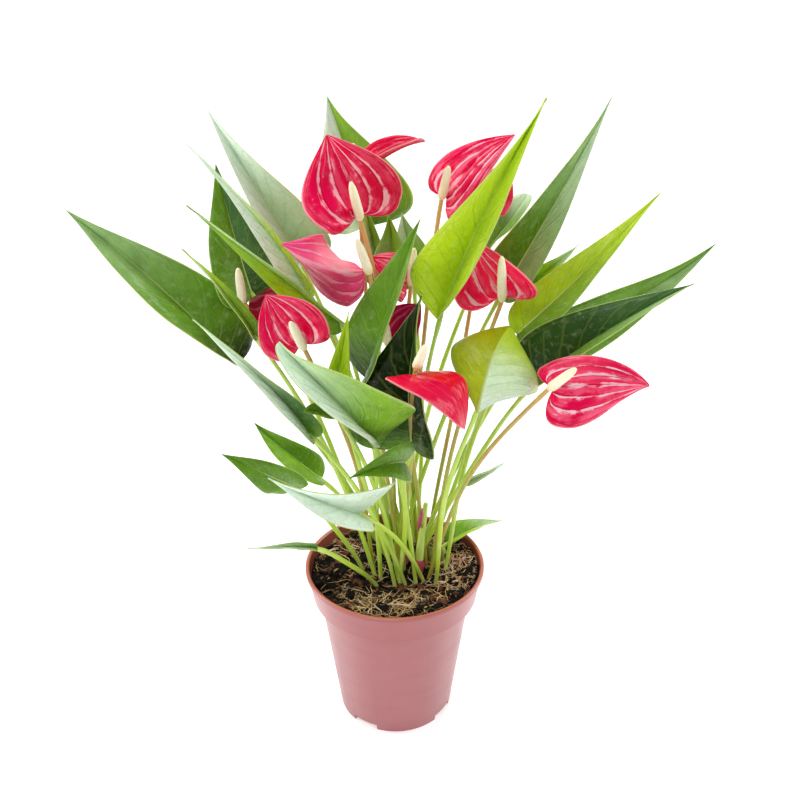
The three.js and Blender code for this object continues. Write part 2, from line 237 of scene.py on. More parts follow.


# leaf and spathe colours by name, for each blade's tones, which paint light as well as colour: sage, mist,
# frost and blush are painted sheen, mist and frost also standing for paler undersides and bloom, and night,
# deep and wine are the darkest greens and reds, also used as painted shade
palette = {
    "night": (0.06, 0.12, 0.01),
    "deep": (0.14, 0.27, 0.02),
    "moss": (0.34, 0.51, 0.06),
    "fern": (0.38, 0.55, 0.13),
    "fresh": (0.48, 0.65, 0.17),
    "lime": (0.62, 0.75, 0.02),
    "sun": (0.70, 0.81, 0.18),
    "zest": (0.75, 0.87, 0.13),
    "citrus": (0.63, 0.68, 0.0),
    "slate": (0.27, 0.42, 0.22),
    "sage": (0.53, 0.66, 0.42),
    "mist": (0.73, 0.82, 0.68),
    "frost": (0.85, 0.91, 0.85),
    "cherry": (0.89, 0.00, 0.29),
    "crimson": (0.84, 0.00, 0.24),
    "rose": (0.92, 0.20, 0.36),
    "blush": (0.98, 0.62, 0.68),
    "orchid": (0.96, 0.28, 0.52),
    "magenta": (0.60, 0.00, 0.24),
    "flame": (0.99, 0.02, 0.30),
    "scarlet": (0.86, 0.03, 0.11),
    "wine": (0.45, 0.00, 0.10),
}
# how many side veins a leaf has and how they slant, and how many swollen panels half a spathe has
veinShape = {"pairs": 9, "slant": 1.7, "panels": 3.3}


def leafFinish(name, underside):
    made = Finish(name, Coat_Weight=0.16, Coat_Roughness=0.2, Specular_IOR_Level=0.16)
    aside, along = made.sheetPlace()
    wander = made.cloud(28, 3, 0.6)
    phase = along * veinShape["pairs"] - aside * veinShape["slant"] + (wander - 0.5) * 0.9
    sideVein = 1 - (phase.fraction() - 0.5).size().step(0.0, 0.12)
    netVein = 1 - (made.cloud(150, 2, 0.5) - 0.5).size().step(0.0, 0.03)
    rimVein = 1 - (aside - 0.9 + (wander - 0.5) * 0.05).size().step(0.0, 0.02)
    midVein = 1 - aside.step(0.01, 0.035)
    veins = sideVein * aside.step(0.02, 0.15) * (1 - aside.step(0.84, 0.9)) + rimVein * 0.6
    patch = made.cloud(60, 4, 0.6)
    sheen = made.drawnCloud(made.sheet(), (9, 26, 1), 4, 0.65)
    calm = 1 - along.step(0.6, 0.9)  # the relief dies out towards the tip
    stops = [(0.3, (0.02, 0.05, 0.01)), (0.7, (0.75, 0.85, 0.5))]
    mottle = made.node("ShaderNodeValToRGB", {"stops": stops}, {0: patch})
    colour = made.layered(
        made.mix(0.3, made.tone(), mottle, "SOFT_LIGHT"),
        # painted sheen: pale blotches between the side veins
        (sheen.step(0.5, 0.72) * (1 - sideVein) * calm * 0.2, (0.80, 0.88, 0.66)),
        (netVein * 0.12, (0.20, 0.32, 0.06)),
        (veins * 0.14, (0.66, 0.76, 0.36)),
        (midVein * 0.7, (0.76, 0.82, 0.45)),
        (aside.step(0.97, 0.99) * 0.7, (0.76, 0.84, 0.46)))
    if underside:
        colour = made.layered(colour, (0.4, (0.58, 0.70, 0.34)))
    rough = patch * 0.16 + (0.40 if underside else 0.22)
    height = (patch * 0.8 + sheen * 0.9 - veins * 0.6 - netVein * 0.2) * calm
    return made.feed(Base_Color=colour, Roughness=rough, Normal=made.bump(height, 0.6, 0.0011))


def spatheFinish(name, underside):
    # red panels between sunken veins, with painted shade in the veins and ragged painted highlight streaks,
    # painted sheen and painted glints, all growing with the gloss number
    made = Finish(name, Coat_Weight=0.11, Coat_Roughness=0.07, Specular_IOR_Level=0.06)
    aside, along = made.sheetPlace()
    gloss = made.tone(3)
    wander = made.cloud(45, 2, 0.5)
    lobe = (aside * veinShape["panels"] + (wander - 0.5) * 0.5 + 0.02).fraction()
    vein = 1 - lobe.step(0.0, 0.06) * (1 - lobe.step(0.94, 1.0))
    slope = lobe.step(0.0, 0.10) * (1 - lobe.step(0.12, 0.50))
    rim = 1 - aside.step(0.84, 0.95)
    calm = 1 - along.step(0.7, 0.92)
    streak = made.drawnCloud(made.sheet(), (23, 4.2, 1), 4, 0.66)
    broad = made.drawnCloud(made.sheet(), (6, 2.4, 1), 2, 0.5)
    ragged = (made.cloud(190, 4, 0.7) - 0.5) * 0.35
    island = (made.cloud(95, 2, 0.5) - 0.5) * 0.3
    patch = made.cloud(60, 3, 0.55)
    # painted sheen in rose patches, painted highlight streaks along the panels' slopes and fine painted
    # glints
    paintedSheen = (broad + (streak - 0.5) * 0.4 + ragged).step(0.44, 0.62) * (gloss - 0.5)
    lit = (streak + broad * 0.55 + slope * 0.34 + ragged + island).step(0.90, 1.10) * gloss * rim
    paintedGlints = made.cloud(380, 3, 0.7).step(0.66, 0.72) * gloss
    colour = made.layered(
        made.tone(),
        (patch.step(0.45, 0.7) * 0.3, (0.76, 0.0, 0.18)),
        (paintedSheen * (0.1 if underside else 0.75), (0.97, 0.40, 0.53)),
        (lit * (0.15 if underside else 0.78), (1.0, 0.78, 0.83)),
        (paintedGlints * 0.25, (1.0, 0.80, 0.82)),
        # painted shade in the sunken veins
        (vein * aside.step(0.06, 0.12) * gloss * 0.5, (0.62, 0.0, 0.14)),
        (aside.step(0.965, 0.985) * 0.55, (1.0, 0.72, 0.72)))
    rough = patch * 0.12 + (0.33 if underside else 0.16)
    height = made.cloud(300, 3, 0.6) * 0.35 + (streak * 0.6 - vein * 0.4) * gloss * calm
    return made.feed(Base_Color=colour, Roughness=rough, Normal=made.bump(height, 0.5, 0.0008))


def stemFinish(name, low, high, blush, blushHeight):
    # fine lengthwise lines, from a low to a high colour, with a blush in patches and at the foot
    made = Finish(name, Coat_Weight=0.15, Coat_Roughness=0.25)
    height = made.height()
    lines = made.drawnCloud(made.here(), (900, 900, 25), 3, 0.6)
    colour = made.layered(
        linear(*low),
        (height.step(0.11, 0.30), high),
        (made.cloud(38, 2, 0.5).step(0.45, 0.75) * 0.5, blush),
        ((1 - height.step(*blushHeight)) * 0.5, blush),
        (lines.step(0.4, 0.8) * 0.25, (0.85, 0.9, 0.6)))
    return made.feed(Base_Color=colour, Roughness=lines * 0.2 + 0.28, Normal=made.bump(lines, 0.3, 0.0003))


def spadixFinish(name):
    made = Finish(name, Specular_IOR_Level=0.3, Coat_Weight=0.1, Coat_Roughness=0.3)
    grain = made.node("ShaderNodeTexVoronoi", None, {"Vector": made.here(), "Scale": 1000})
    patch = made.cloud(120, 2, 0.5)
    colour = made.layered(
        made.tone(),
        (patch.step(0.35, 0.7) * 0.4 + 0.2, (1.0, 0.97, 0.90)),
        (grain.step(0.45, 0.75) * 0.16, (0.90, 0.74, 0.42)))
    relief = made.bump(1 - grain, 0.25, 0.0002)
    return made.feed(Base_Color=colour, Roughness=patch * 0.2 + 0.4, Normal=relief)


def potFinish(name, body, edge):
    made = Finish(name, Coat_Weight=0.3, Coat_Roughness=0.24)
    flow = made.drawnCloud(made.here(), (22, 22, 90), 3, 0.55)
    fine = made.cloud(1400, 2, 0.5)
    scuff = made.drawnCloud(made.here(), (300, 300, 40), 4, 0.7)
    colour = made.layered(
        linear(*body),
        (flow.step(0.35, 0.7) * 0.25, edge),
        (scuff.step(0.62, 0.75) * 0.12, (0.86, 0.72, 0.70)),
        (made.height().step(0.1136, 0.1146) * 0.75, (0.72, 0.40, 0.27)))  # the lip's brighter top edge
    rough = flow * 0.12 + scuff.step(0.6, 0.8) * 0.15 + 0.3
    return made.feed(Base_Color=colour, Roughness=rough, Normal=made.bump(fine + flow, 0.12, 0.0003))


def earthFinish(name, dark, light, grainScale):
    made = Finish(name, Specular_IOR_Level=0.2)
    lumps = made.cloud(grainScale, 5, 0.65)
    specks = made.cloud(grainScale * 5, 3, 0.6)
    colour = made.layered(
        linear(*dark),
        (lumps.step(0.35, 0.7), light),
        (specks.step(0.62, 0.8) * 0.5, (0.42, 0.30, 0.18)))
    relief = made.bump(lumps + specks, 0.9, 0.001)
    return made.feed(Base_Color=colour, Roughness=lumps * 0.2 + 0.7, Normal=relief)


# each stem or root: low, high and blush colours, and the heights in metres over which the foot's blush fades
stemTones = {
    "petiole": ((0.72, 0.84, 0.22), (0.66, 0.79, 0.26), (0.84, 0.90, 0.54), (0.105, 0.12)),
    "flowerStalk": ((0.62, 0.68, 0.20), (0.80, 0.62, 0.34), (0.74, 0.46, 0.24), (0.105, 0.13)),
    "sheath": ((0.78, 0.87, 0.42), (0.66, 0.79, 0.26), (0.86, 0.92, 0.60), (0.105, 0.11)),
    "bud": ((0.72, 0.10, 0.38), (0.80, 0.16, 0.42), (0.90, 0.50, 0.62), (0.105, 0.11)),
    "stump": ((0.40, 0.40, 0.12), (0.46, 0.46, 0.16), (0.32, 0.24, 0.10), (0.105, 0.11)),
    "midrib": ((0.60, 0.70, 0.34), (0.68, 0.76, 0.42), (0.74, 0.80, 0.52), (0.105, 0.12)),
    "spatheRib": ((0.72, 0.10, 0.20), (0.78, 0.10, 0.22), (0.86, 0.30, 0.36), (0.105, 0.12)),
    "dryRoot": ((0.84, 0.68, 0.44), (0.88, 0.74, 0.50), (0.50, 0.34, 0.18), (0.10, 0.104)),
    "darkRoot": ((0.34, 0.21, 0.12), (0.40, 0.26, 0.15), (0.20, 0.12, 0.07), (0.10, 0.104)),
    "freshRoot": ((0.94, 0.84, 0.70), (0.96, 0.88, 0.76), (0.80, 0.64, 0.46), (0.10, 0.104)),
    "coir": ((0.84, 0.64, 0.50), (0.90, 0.72, 0.58), (0.50, 0.32, 0.22), (0.10, 0.104)),
}
stemSkins = {name: stemFinish(name, *tones) for name, tones in stemTones.items()}
leafSkins = [leafFinish("leafTop", False), leafFinish("leafUnder", True)]
spatheSkins = [spatheFinish("spatheInside", False), spatheFinish("spatheOutside", True)]
spadixSkin = spadixFinish("spadixGrain")
potSkins = [potFinish("potOutside", (0.65, 0.335, 0.35), (0.60, 0.285, 0.30)),
            potFinish("potInside", (0.52, 0.25, 0.20), (0.44, 0.20, 0.16))]
print("materials ready")


# round shapes drawn up from a disc

def raiseRings(name, sides, rings):
    # a disc drawn up through the rings, left in edit mode with the last ring's face selected
    radius, height = rings[0]
    deselectAll()
    bpy.ops.mesh.primitive_circle_add(vertices=sides, radius=radius * mm, fill_type="NGON",
                                      location=(0, 0, height * mm))
    made = newest(name)
    bpy.ops.object.transform_apply(location=True)
    bpy.ops.object.mode_set(mode="EDIT")
    bpy.ops.mesh.select_mode(type="FACE")
    bpy.ops.mesh.select_all(action="SELECT")
    for nextRadius, nextHeight in rings[1:]:
        lift = (0, 0, (nextHeight - height) * mm)
        bpy.ops.mesh.extrude_region_move(TRANSFORM_OT_translate={"value": lift})
        grow = nextRadius / radius
        bpy.ops.transform.resize(value=(grow, grow, 1), center_override=(0, 0, nextHeight * mm))
        radius, height = nextRadius, nextHeight
    return made


def leaveEditing():
    bpy.ops.mesh.select_all(action="SELECT")
    bpy.ops.mesh.normals_make_consistent(inside=False)
    bpy.ops.object.mode_set(mode="OBJECT")


# pot

potShape = {
    "sides": 144,
    # radius and height of each ring in millimetres: from the underside out and up, over the lip, down inside
    "rings": [(35.1, 5.0), (35.1, 0.0), (39.1, 0.0), (51.2, 93.5), (55.0, 92.7), (55.6, 93.5), (58.7, 111.8),
              (60.0, 112.4), (60.0, 114.4), (59.4, 115.0), (58.0, 115.0), (57.4, 114.2), (54.0, 95.7),
              (49.6, 94.3), (38.1, 7.8), (37.1, 6.8)],
    "notches": 4, "firstNotch": -33, "notchCircle": 38.1, "notchDepth": 12.0, "notchWidth": 18.0,
    "notchTall": 8.4,  # half of it is under the pot
    "drainHoles": 6, "drainRadius": 3.5, "drainCircle": 24.0, "drainMiddle": 6.0, "drainDepth": 20.0,
    "edgeBevel": 0.35, "bevelAngle": 25, "smoothAngle": 32, "insideAbove": 8.0,
}


def ringPlace(radius, angle, height):
    return radius * mm * math.cos(angle), radius * mm * math.sin(angle), height * mm


def cutAway(item, tool):
    useModifier(item, "BOOLEAN", operation="DIFFERENCE", object=tool, solver="EXACT")
    bpy.data.objects.remove(tool)


def facesInward(face):
    middle = Vector((face.center.x, face.center.y, 0))
    return face.normal.dot(middle) < -0.3 * middle.length and face.center.z > potShape["insideAbove"] * mm


def makePot():
    pot = raiseRings("nurseryPot", potShape["sides"], potShape["rings"])
    leaveEditing()
    for k in range(potShape["notches"]):
        angle = math.radians(potShape["firstNotch"] + k * 360 / potShape["notches"])
        at = ringPlace(potShape["notchCircle"], angle, 0)
        bpy.ops.mesh.primitive_cube_add(size=1, location=at, rotation=(0, 0, angle))
        notch = newest("notchTool")
        notch.scale = [potShape[side] * mm for side in ("notchDepth", "notchWidth", "notchTall")]
        cutAway(pot, notch)
    for k in range(potShape["drainHoles"]):
        angle = (k + 0.5) / potShape["drainHoles"] * 2 * math.pi
        at = ringPlace(potShape["drainCircle"], angle, potShape["drainMiddle"])
        bpy.ops.mesh.primitive_cylinder_add(vertices=32, radius=potShape["drainRadius"] * mm,
                                            depth=potShape["drainDepth"] * mm, location=at)
        cutAway(pot, newest("drainTool"))
    useModifier(pot, "BEVEL", width=potShape["edgeBevel"] * mm, segments=2, limit_method="ANGLE",
                angle_limit=math.radians(potShape["bevelAngle"]))
    for skin in potSkins:
        pot.data.materials.append(skin)
    for face in pot.data.polygons:
        face.material_index = 1 if facesInward(face) else 0
    pickOnly(pot)
    bpy.ops.object.shade_smooth_by_angle(angle=math.radians(potShape["smoothAngle"]))
    standFor(pot, "pot")


makePot()
print("pot made")


# potting mix

mixShape = {
    "sides": 120, "insets": 17, "insetStep": 3.1, "edge": 55.3, "flare": 0.18, "seed": 7,
    "rings": [(36.0, 7.6), (48.6, 94.5), (52.6, 96.3), (55.3, 105.0)],  # up the pot's inner wall
    "edgeFrom": 54.0, "surface": 105.0, "highest": 112.3, "swells": 1.2,
    # heights, and the radii between which they come in
    "relief": 3.0, "reliefFrom": (21.0, 39.0), "heap": 7.0, "heapFrom": (24.0, 50.0), "heapTowards": -60,
}
# how many of each lie on the mix, between which radii, and their sizes in millimetres
litter = {
    "crumbs": 1500, "crumbPlace": (4, 55.2), "crumbSize": (0.6, 1.8), "crumbLength": (0.7, 2.2),
    "lumpEvery": 9, "lumpSize": 1.9,
    "fibres": 1250, "fibrePlace": (8, 54.5), "fibreLength": (5, 15), "fibreThickness": (0.5, 1.25),
    "fibreLift": (0.3, 1.9), "fibreLean": (-0.35, 0.35),
    "specks": 26, "speckPlace": (10, 52), "speckSize": (0.3, 0.7),
    "anyTurn": (0, 6.3),
}


def mixTop(x, y):
    # height of the surface in metres: uneven, and heaped towards the front and the right of the pot
    radius = math.hypot(x, y) / mm
    where = Vector((x, y, 0)) / mm
    level = mixShape["surface"] + mixShape["swells"] * noise.noise(where * 0.09)
    rough = mixShape["relief"] * ease(*mixShape["reliefFrom"], radius)
    level += rough * (noise.noise(where * 0.16 + Vector((3, 8, 0))) + 0.5 * noise.noise(where * 0.45))
    turned = math.cos(math.atan2(y, x) - math.radians(mixShape["heapTowards"]))
    level += mixShape["heap"] * (0.5 + 0.5 * turned) ** 0.6 * ease(*mixShape["heapFrom"], radius)
    return min(level, mixShape["highest"]) * mm


def makeMixBlock():
    block = raiseRings("pottingMix", mixShape["sides"], mixShape["rings"])
    for k in range(mixShape["insets"]):
        bpy.ops.mesh.inset(thickness=mixShape["insetStep"] * mm)
    bpy.ops.mesh.poke()
    leaveEditing()
    useModifier(block, "SUBSURF", subdivision_type="SIMPLE", levels=1, render_levels=1)
    for point in block.data.vertices:
        if point.co.z > (mixShape["surface"] - 0.2) * mm:
            point.co.z = mixTop(point.co.x, point.co.y)
            radius = math.hypot(point.co.x, point.co.y) / mm
            if radius > mixShape["edgeFrom"]:  # the edge follows the pot's flaring wall
                rise = point.co.z / mm - mixShape["surface"]
                grow = (mixShape["edge"] + mixShape["flare"] * rise) / radius
                point.co.x *= grow
                point.co.y *= grow
    block.data.materials.append(earthFinish("peat", (0.012, 0.009, 0.006), (0.06, 0.036, 0.022), 260))
    smooth(block)
    return block


def addTube(points, radii, skin, roundness):
    # a round tube through the points, with its own radius at each
    deselectAll()
    bpy.ops.curve.primitive_nurbs_path_add()
    curve = bpy.context.active_object
    curve.data.splines.clear()
    line = curve.data.splines.new("POLY")
    line.points.add(len(points) - 1)
    for node, point, radius in zip(line.points, points, radii):
        node.co = (*point, 1)
        node.radius = radius
    curve.data.bevel_depth = 1.0
    curve.data.bevel_resolution = roundness
    curve.data.use_fill_caps = True
    bpy.ops.object.convert(target="MESH")
    tube = newest("tube")
    tube.data.materials.append(skin)
    bpy.ops.object.shade_smooth()
    return tube


def smoothThrough(ends, steps):
    # a soft curve through the points
    points = []
    for k in range(len(ends) - 1):
        before, start = ends[max(k - 1, 0)], ends[k]
        end, after = ends[k + 1], ends[min(k + 2, len(ends) - 1)]
        for j in range(steps):
            t = j / steps
            square = 2 * before - 5 * start + 4 * end - after
            cube = 3 * start - before - 3 * end + after
            points.append(0.5 * (2 * start + (end - before) * t + square * t * t + cube * t ** 3))
    points.append(ends[-1])
    return points


def addCrumb(skin, seed):
    deselectAll()
    bpy.ops.mesh.primitive_ico_sphere_add(subdivisions=1, radius=1.0)
    crumb = newest("crumb")
    for point in crumb.data.vertices:
        point.co *= 1 + 0.9 * noise.noise(point.co * 1.3 + Vector((5, 2, seed)))
        point.co.z *= 0.55
    crumb.data.materials.append(skin)
    return crumb


def addFibre(skin, curl, seed):
    # a dry root one unit long, lying along X, that wanders
    wander = random.Random(seed)
    points = []
    heading = wander.uniform(-curl, curl)
    here = Vector((-0.5, 0, 0))
    steps = 7
    for k in range(steps + 1):
        points.append(here.copy())
        heading += wander.uniform(-curl, curl)
        here += Vector((math.cos(heading), math.sin(heading), wander.uniform(-0.3, 0.3) * curl)) / steps
    radii = [0.024 * math.sin(math.pi * (0.12 + 0.8 * k / steps)) for k in range(steps + 1)]
    return addTube(points, radii, skin, 0)


def spotOnMix(chance, radii):
    radius = math.sqrt(chance.uniform(radii[0] ** 2, radii[1] ** 2))
    angle = chance.uniform(0, 2 * math.pi)
    return radius * math.cos(angle) * mm, radius * math.sin(angle) * mm


def fibreRoom(x, y):
    # how thickly dry roots lie: a mat at the right, a golden tangle in front and a tuft at the back left
    right = ease(24, 40, (x + 0.25 * y) / mm) * ease(-34, -18, y / mm)
    front = ease(16, 34, -y / mm) * (1 - ease(16, 34, abs(x / mm + 6)))
    back = 0.8 * ease(18, 6, math.hypot(x + 0.034, y - 0.028) / mm)
    return min(1.0, 0.16 + 0.95 * right + 0.75 * front + back)


def joinCopies(name, sources, made):
    for spare in sources:
        bpy.data.objects.remove(spare)
    return joinAll(name, made)


def scatterCrumbs(chance):
    peat = earthFinish("peatCrumb", (0.015, 0.01, 0.006), (0.09, 0.055, 0.03), 420)
    bark = earthFinish("barkChip", (0.22, 0.12, 0.07), (0.52, 0.33, 0.21), 300)
    sources = [addCrumb(peat, 1), addCrumb(peat, 4), addCrumb(bark, 7)]
    made = []
    for k in range(litter["crumbs"]):
        x, y = spotOnMix(chance, litter["crumbPlace"])
        grow = litter["lumpSize"] if k % litter["lumpEvery"] == 0 else 1
        size = chance.uniform(*litter["crumbSize"]) * mm * grow
        tilt = (chance.uniform(-1, 1), chance.uniform(-1, 1), chance.uniform(0.4, 2))
        at = Vector((x, y, mixTop(x, y) + 0.3 * size))
        stretch = (size * chance.uniform(*litter["crumbLength"]), size, size)
        source = sources[chance.choice([0, 0, 1, 1, 1, 2, 2])]
        made.append(copyOf(source, place(at, tilt, stretch, chance.uniform(*litter["anyTurn"]))))
    return joinCopies("mixCrumbs", sources, made)


def scatterFibres(chance):
    kinds = [("dryRoot", 0.25), ("dryRoot", 0.5), ("dryRoot", 0.8), ("darkRoot", 0.4), ("darkRoot", 0.7),
             ("freshRoot", 0.4), ("coir", 0.45), ("coir", 0.8)]
    matKinds, otherKinds = [6, 7, 6, 7, 7, 1, 2, 5], [0, 1, 1, 2, 2, 3, 4, 4, 5]  # common kinds stand twice
    sources = [addFibre(stemSkins[skin], curl, seed) for seed, (skin, curl) in enumerate(kinds)]
    made = []
    while len(made) < litter["fibres"]:
        x, y = spotOnMix(chance, litter["fibrePlace"])
        if chance.random() > fibreRoom(x, y):
            continue
        onMat = x + 0.25 * y > 24 * mm  # the mat of coir at the right
        source = sources[chance.choice(matKinds if onMat else otherKinds)]
        length = chance.uniform(*litter["fibreLength"]) * mm
        thick = chance.uniform(*litter["fibreThickness"])
        at = Vector((x, y, mixTop(x, y) + chance.uniform(*litter["fibreLift"]) * mm))
        grow = Matrix.Diagonal((length, length, length, 1)) @ Matrix.Diagonal((1, thick, thick, 1))
        lean = Matrix.Rotation(chance.uniform(*litter["fibreLean"]), 4, "Y")
        turn = Matrix.Rotation(chance.uniform(*litter["anyTurn"]), 4, "Z")
        twin = copyOf(source, Matrix.Translation(at) @ turn @ lean @ grow)
        for point in twin.data.vertices:  # keeps the ends inside the pot and out of the mix
            radius = math.hypot(point.co.x, point.co.y)
            if radius > mixShape["edge"] * mm:
                point.co.x *= mixShape["edge"] * mm / radius
                point.co.y *= mixShape["edge"] * mm / radius
            point.co.z = max(point.co.z, mixTop(point.co.x, point.co.y) - 0.2 * mm)
        made.append(twin)
    return joinCopies("mixFibres", sources, made)


def scatterSpecks(chance):
    source = addCrumb(earthFinish("perlite", (0.80, 0.78, 0.72), (0.92, 0.91, 0.88), 700), 2)
    made = []
    for k in range(litter["specks"]):
        x, y = spotOnMix(chance, litter["speckPlace"])
        size = chance.uniform(*litter["speckSize"]) * mm
        at = Vector((x, y, mixTop(x, y) + 0.5 * mm))
        spin = chance.uniform(*litter["anyTurn"])
        made.append(copyOf(source, place(at, (0, 0, 1), (size, size, size), spin)))
    return joinCopies("mixSpecks", [source], made)


# single roots on the surface: skin, radius, and each point's x, y and height over the mix, in millimetres
longRoots = {
    "front": ("freshRoot", 0.75, [(-10, -43, 1.5), (-5, -41, 2.6), (2, -41.5, 2.8), (9, -44, 2.2),
                                  (15, -47.5, 1.0)]),
    "frontTail": ("dryRoot", 0.5, [(15, -47.5, 1.0), (21, -46, 1.5), (26, -41, 1.6), (28, -36, 1.2),
                                   (33, -33, 0.8)]),
    "rightStraw": ("freshRoot", 0.75, [(26, -14, 3.0), (33, -16, 2.8), (42, -20, 2.0)]),
    "middleStraw": ("dryRoot", 0.6, [(15, -15, 2.2), (20, -19, 1.6), (24, -22, 1.0)]),
    "left": ("dryRoot", 0.7, [(-45, -12, 1.2), (-41, -4, 2.4), (-38, 2, 1.5), (-43, -2, 1.0)]),
    "rightBranch": ("dryRoot", 0.55, [(34, -10, 2.6), (35, -18, 2.2), (34, -26, 1.8), (36, -33, 1.2)]),
}
# stumps of cut stalks, each from its foot to its top, with its radius, in millimetres
stumps = [((27, 4, 104.5), (24.5, 11, 119), 2.7), ((33, 7, 104.5), (31, 14, 117), 1.9)]


def addLongRoots():
    tubes = []
    for skin, radius, spots in longRoots.values():
        ends = [Vector((x * mm, y * mm, mixTop(x * mm, y * mm) + up * mm)) for x, y, up in spots]
        points = smoothThrough(ends, 6)
        radii = [radius * mm * (0.75 + 0.25 * math.sin(k * 1.7)) for k in range(len(points))]
        radii[0] = radii[-1] = 0.2 * radius * mm
        tubes.append(addTube(points, radii, stemSkins[skin], 1))
    for foot, top, radius in stumps:
        foot, top = Vector(foot) * mm, Vector(top) * mm
        points = [foot.lerp(top, k / 6) + Vector((0.4 * mm * math.sin(k), 0, 0)) for k in range(7)]
        radii = [radius * mm * (1.15 - 0.04 * k + 0.06 * math.sin(k * 2.1)) for k in range(7)]
        tubes.append(addTube(points, radii, stemSkins["stump"], 2))
    return joinAll("longRoots", tubes)


chance = random.Random(mixShape["seed"])
pieces = [makeMixBlock(), scatterCrumbs(chance), scatterFibres(chance), scatterSpecks(chance), addLongRoots()]
for piece in pieces:
    standFor(piece, "potting_mix")
print("potting mix made")


# stems

stemShape = {
    # lengths and radii in millimetres
    "foot": 105.4, "lean": 0.36, "rise": 0.6, "steps": 22, "kneeBelow": 9.0, "kneeLength": 5.0,
    "gather": (0.62, 1.0), "middle": (7.0, 9.0), "stray": (13.0, 9.0), "sway": 5.0,
    "petiole": {"foot": 1.35, "middle": 1.6, "top": 1.3, "knee": 1.75},
    "stalk": {"foot": 1.2, "middle": 1.4, "top": 1.3, "knee": 1.4},
}


def quadraticRail(start, bend, end):
    # the bent line from start to end, measured so that a share of its length gives a point and a direction
    points = []
    steps = 80
    for k in range(steps + 1):
        t = k / steps
        points.append(start * (1 - t) ** 2 + bend * (2 * t * (1 - t)) + end * t ** 2)
    lengths = [0.0]
    for before, after in zip(points, points[1:]):
        lengths.append(lengths[-1] + (after - before).length)

    def at(share):
        target = min(max(share, 0.0), 1.0) * lengths[-1]
        k = min(max(bisect.bisect_left(lengths, target), 1), steps)
        part = (target - lengths[k - 1]) / (lengths[k] - lengths[k - 1])
        t = (k - 1 + part) / steps
        direction = ((bend - start) * (1 - t) + (end - bend) * t).normalized()
        return points[k - 1].lerp(points[k], part), direction

    return at, lengths[-1]


def addStem(plant, end, sizes, skin, seed):
    # a stem rises nearly upright from the mix and leans over to its end, with a knee just under it;
    # the feet stand close together and stray a little, so that the stems cross low down
    gather, middle, stray = stemShape["gather"], stemShape["middle"], stemShape["stray"]
    x = middle[0] + plant["foot"][0] * gather[0] + stray[0] * math.sin(seed * 2.4)
    y = middle[1] + plant["foot"][1] * gather[1] + stray[1] * math.cos(seed * 1.7)
    start = Vector((x, y, stemShape["foot"])) * mm
    start.z = mixTop(start.x, start.y) - 0.5 * mm
    lean = stemShape["lean"]
    bend = Vector((between(start.x, end.x, lean), between(start.y, end.y, lean),
                   between(start.z, end.z, stemShape["rise"])))
    bend += Vector((*plant.get("bow", (0, 0)), 0)) * mm
    at, length = quadraticRail(start, bend, end)
    steps = stemShape["steps"]
    kneeAt = 1 - stemShape["kneeBelow"] * mm / length
    sway = Vector((math.cos(seed * 1.3), math.sin(seed * 1.3), 0))
    sway *= stemShape["sway"] * mm * math.sin(seed * 3.1)
    points, radii = [], []
    for k in range(steps + 1):
        share = (k / steps) ** 0.9
        radius = between(sizes["foot"], sizes["middle"], ease(0, 0.28, share))
        radius = between(radius, sizes["top"], ease(0.5, 0.9, share))
        fromKnee = (share - kneeAt) * length / (stemShape["kneeLength"] * mm)
        radius += (sizes["knee"] - sizes["top"]) * math.exp(-fromKnee ** 2)
        points.append(at(share)[0] + sway * math.sin(math.pi * share) ** 2)
        radii.append(radius * mm)
    return addTube(points, radii, skin, 2)


# blades: leaves and spathes

bladeShape = {
    # quilt, wave and groove are in millimetres, the bulges in half widths
    "firstStation": 0.035, "lastStation": 0.995, "midribEase": 1.8, "crowding": 1.15, "tipThinning": 0.75,
    "leafBulge": 0.42, "spatheBulge": 0.14, "wave": 1.8, "quilt": 0.42, "spatheQuilt": 1.15, "groove": 0.1,
}
# half a blade's outline runs from the joint to the tip, pulled towards two points: shares of length and width
forms = {
    "leaf": ((-0.05, 2.0), (0.52, 0.4)),
    "diamond": ((0.35, 0.5), (0.62, 1.9)),
    "shield": ((0.44, 1.57), (1.03, 1.0)),
    "taper": ((0.25, 1.6), (0.25, 0.9)),
    "round": ((-0.1, 1.1), (0.95, 1.6)),
    "spathe": ((-0.45, 1.36), (0.45, 1.31)),
}


def squareTo(direction, axis):
    return (direction - axis * direction.dot(axis)).normalized()


def outlineAt(form, station):
    first, second = form
    a = 3 * station * (1 - station) ** 2
    b = 3 * station ** 2 * (1 - station)
    return Vector((a * first[0] + b * second[0] + station ** 3, a * first[1] + b * second[1]))


def midribOf(sheet, start):
    tip = Vector(sheet["tip"]) * mm
    chord = (tip - start).normalized()
    up = squareTo(Vector(sheet["face"]), chord)
    side = chord.cross(up)
    bend = (start + tip) / 2 + up * (2 * mm * sheet.get("arch", 0)) + side * (2 * mm * sheet.get("sweep", 0))
    return quadraticRail(start, bend, tip)


def spreadOf(sheet, direction, share):
    # the blade's upward and sideways directions at a share of the midrib
    up = squareTo(Vector(sheet["face"]), direction)
    up.rotate(Quaternion(direction, math.radians(sheet.get("twist", 0)) * (share - 0.5)))
    return up, direction.cross(up)


def bladePoint(sheet, rail, along, across, lift):
    at, length = rail
    share = min(max(along / length, 0.0), 1.0)
    point, direction = at(share)
    up, side = spreadOf(sheet, direction, share)
    fold = math.radians(sheet["fold"])
    turn = math.copysign(1.0, across)
    reach = abs(across) * (1 + turn * sheet.get("skew", 0))
    outward = side * (turn * math.cos(fold)) + up * math.sin(fold)
    above = up * math.cos(fold) - side * (turn * math.sin(fold))
    return point + direction * min(0.0, along) + outward * reach + above * lift


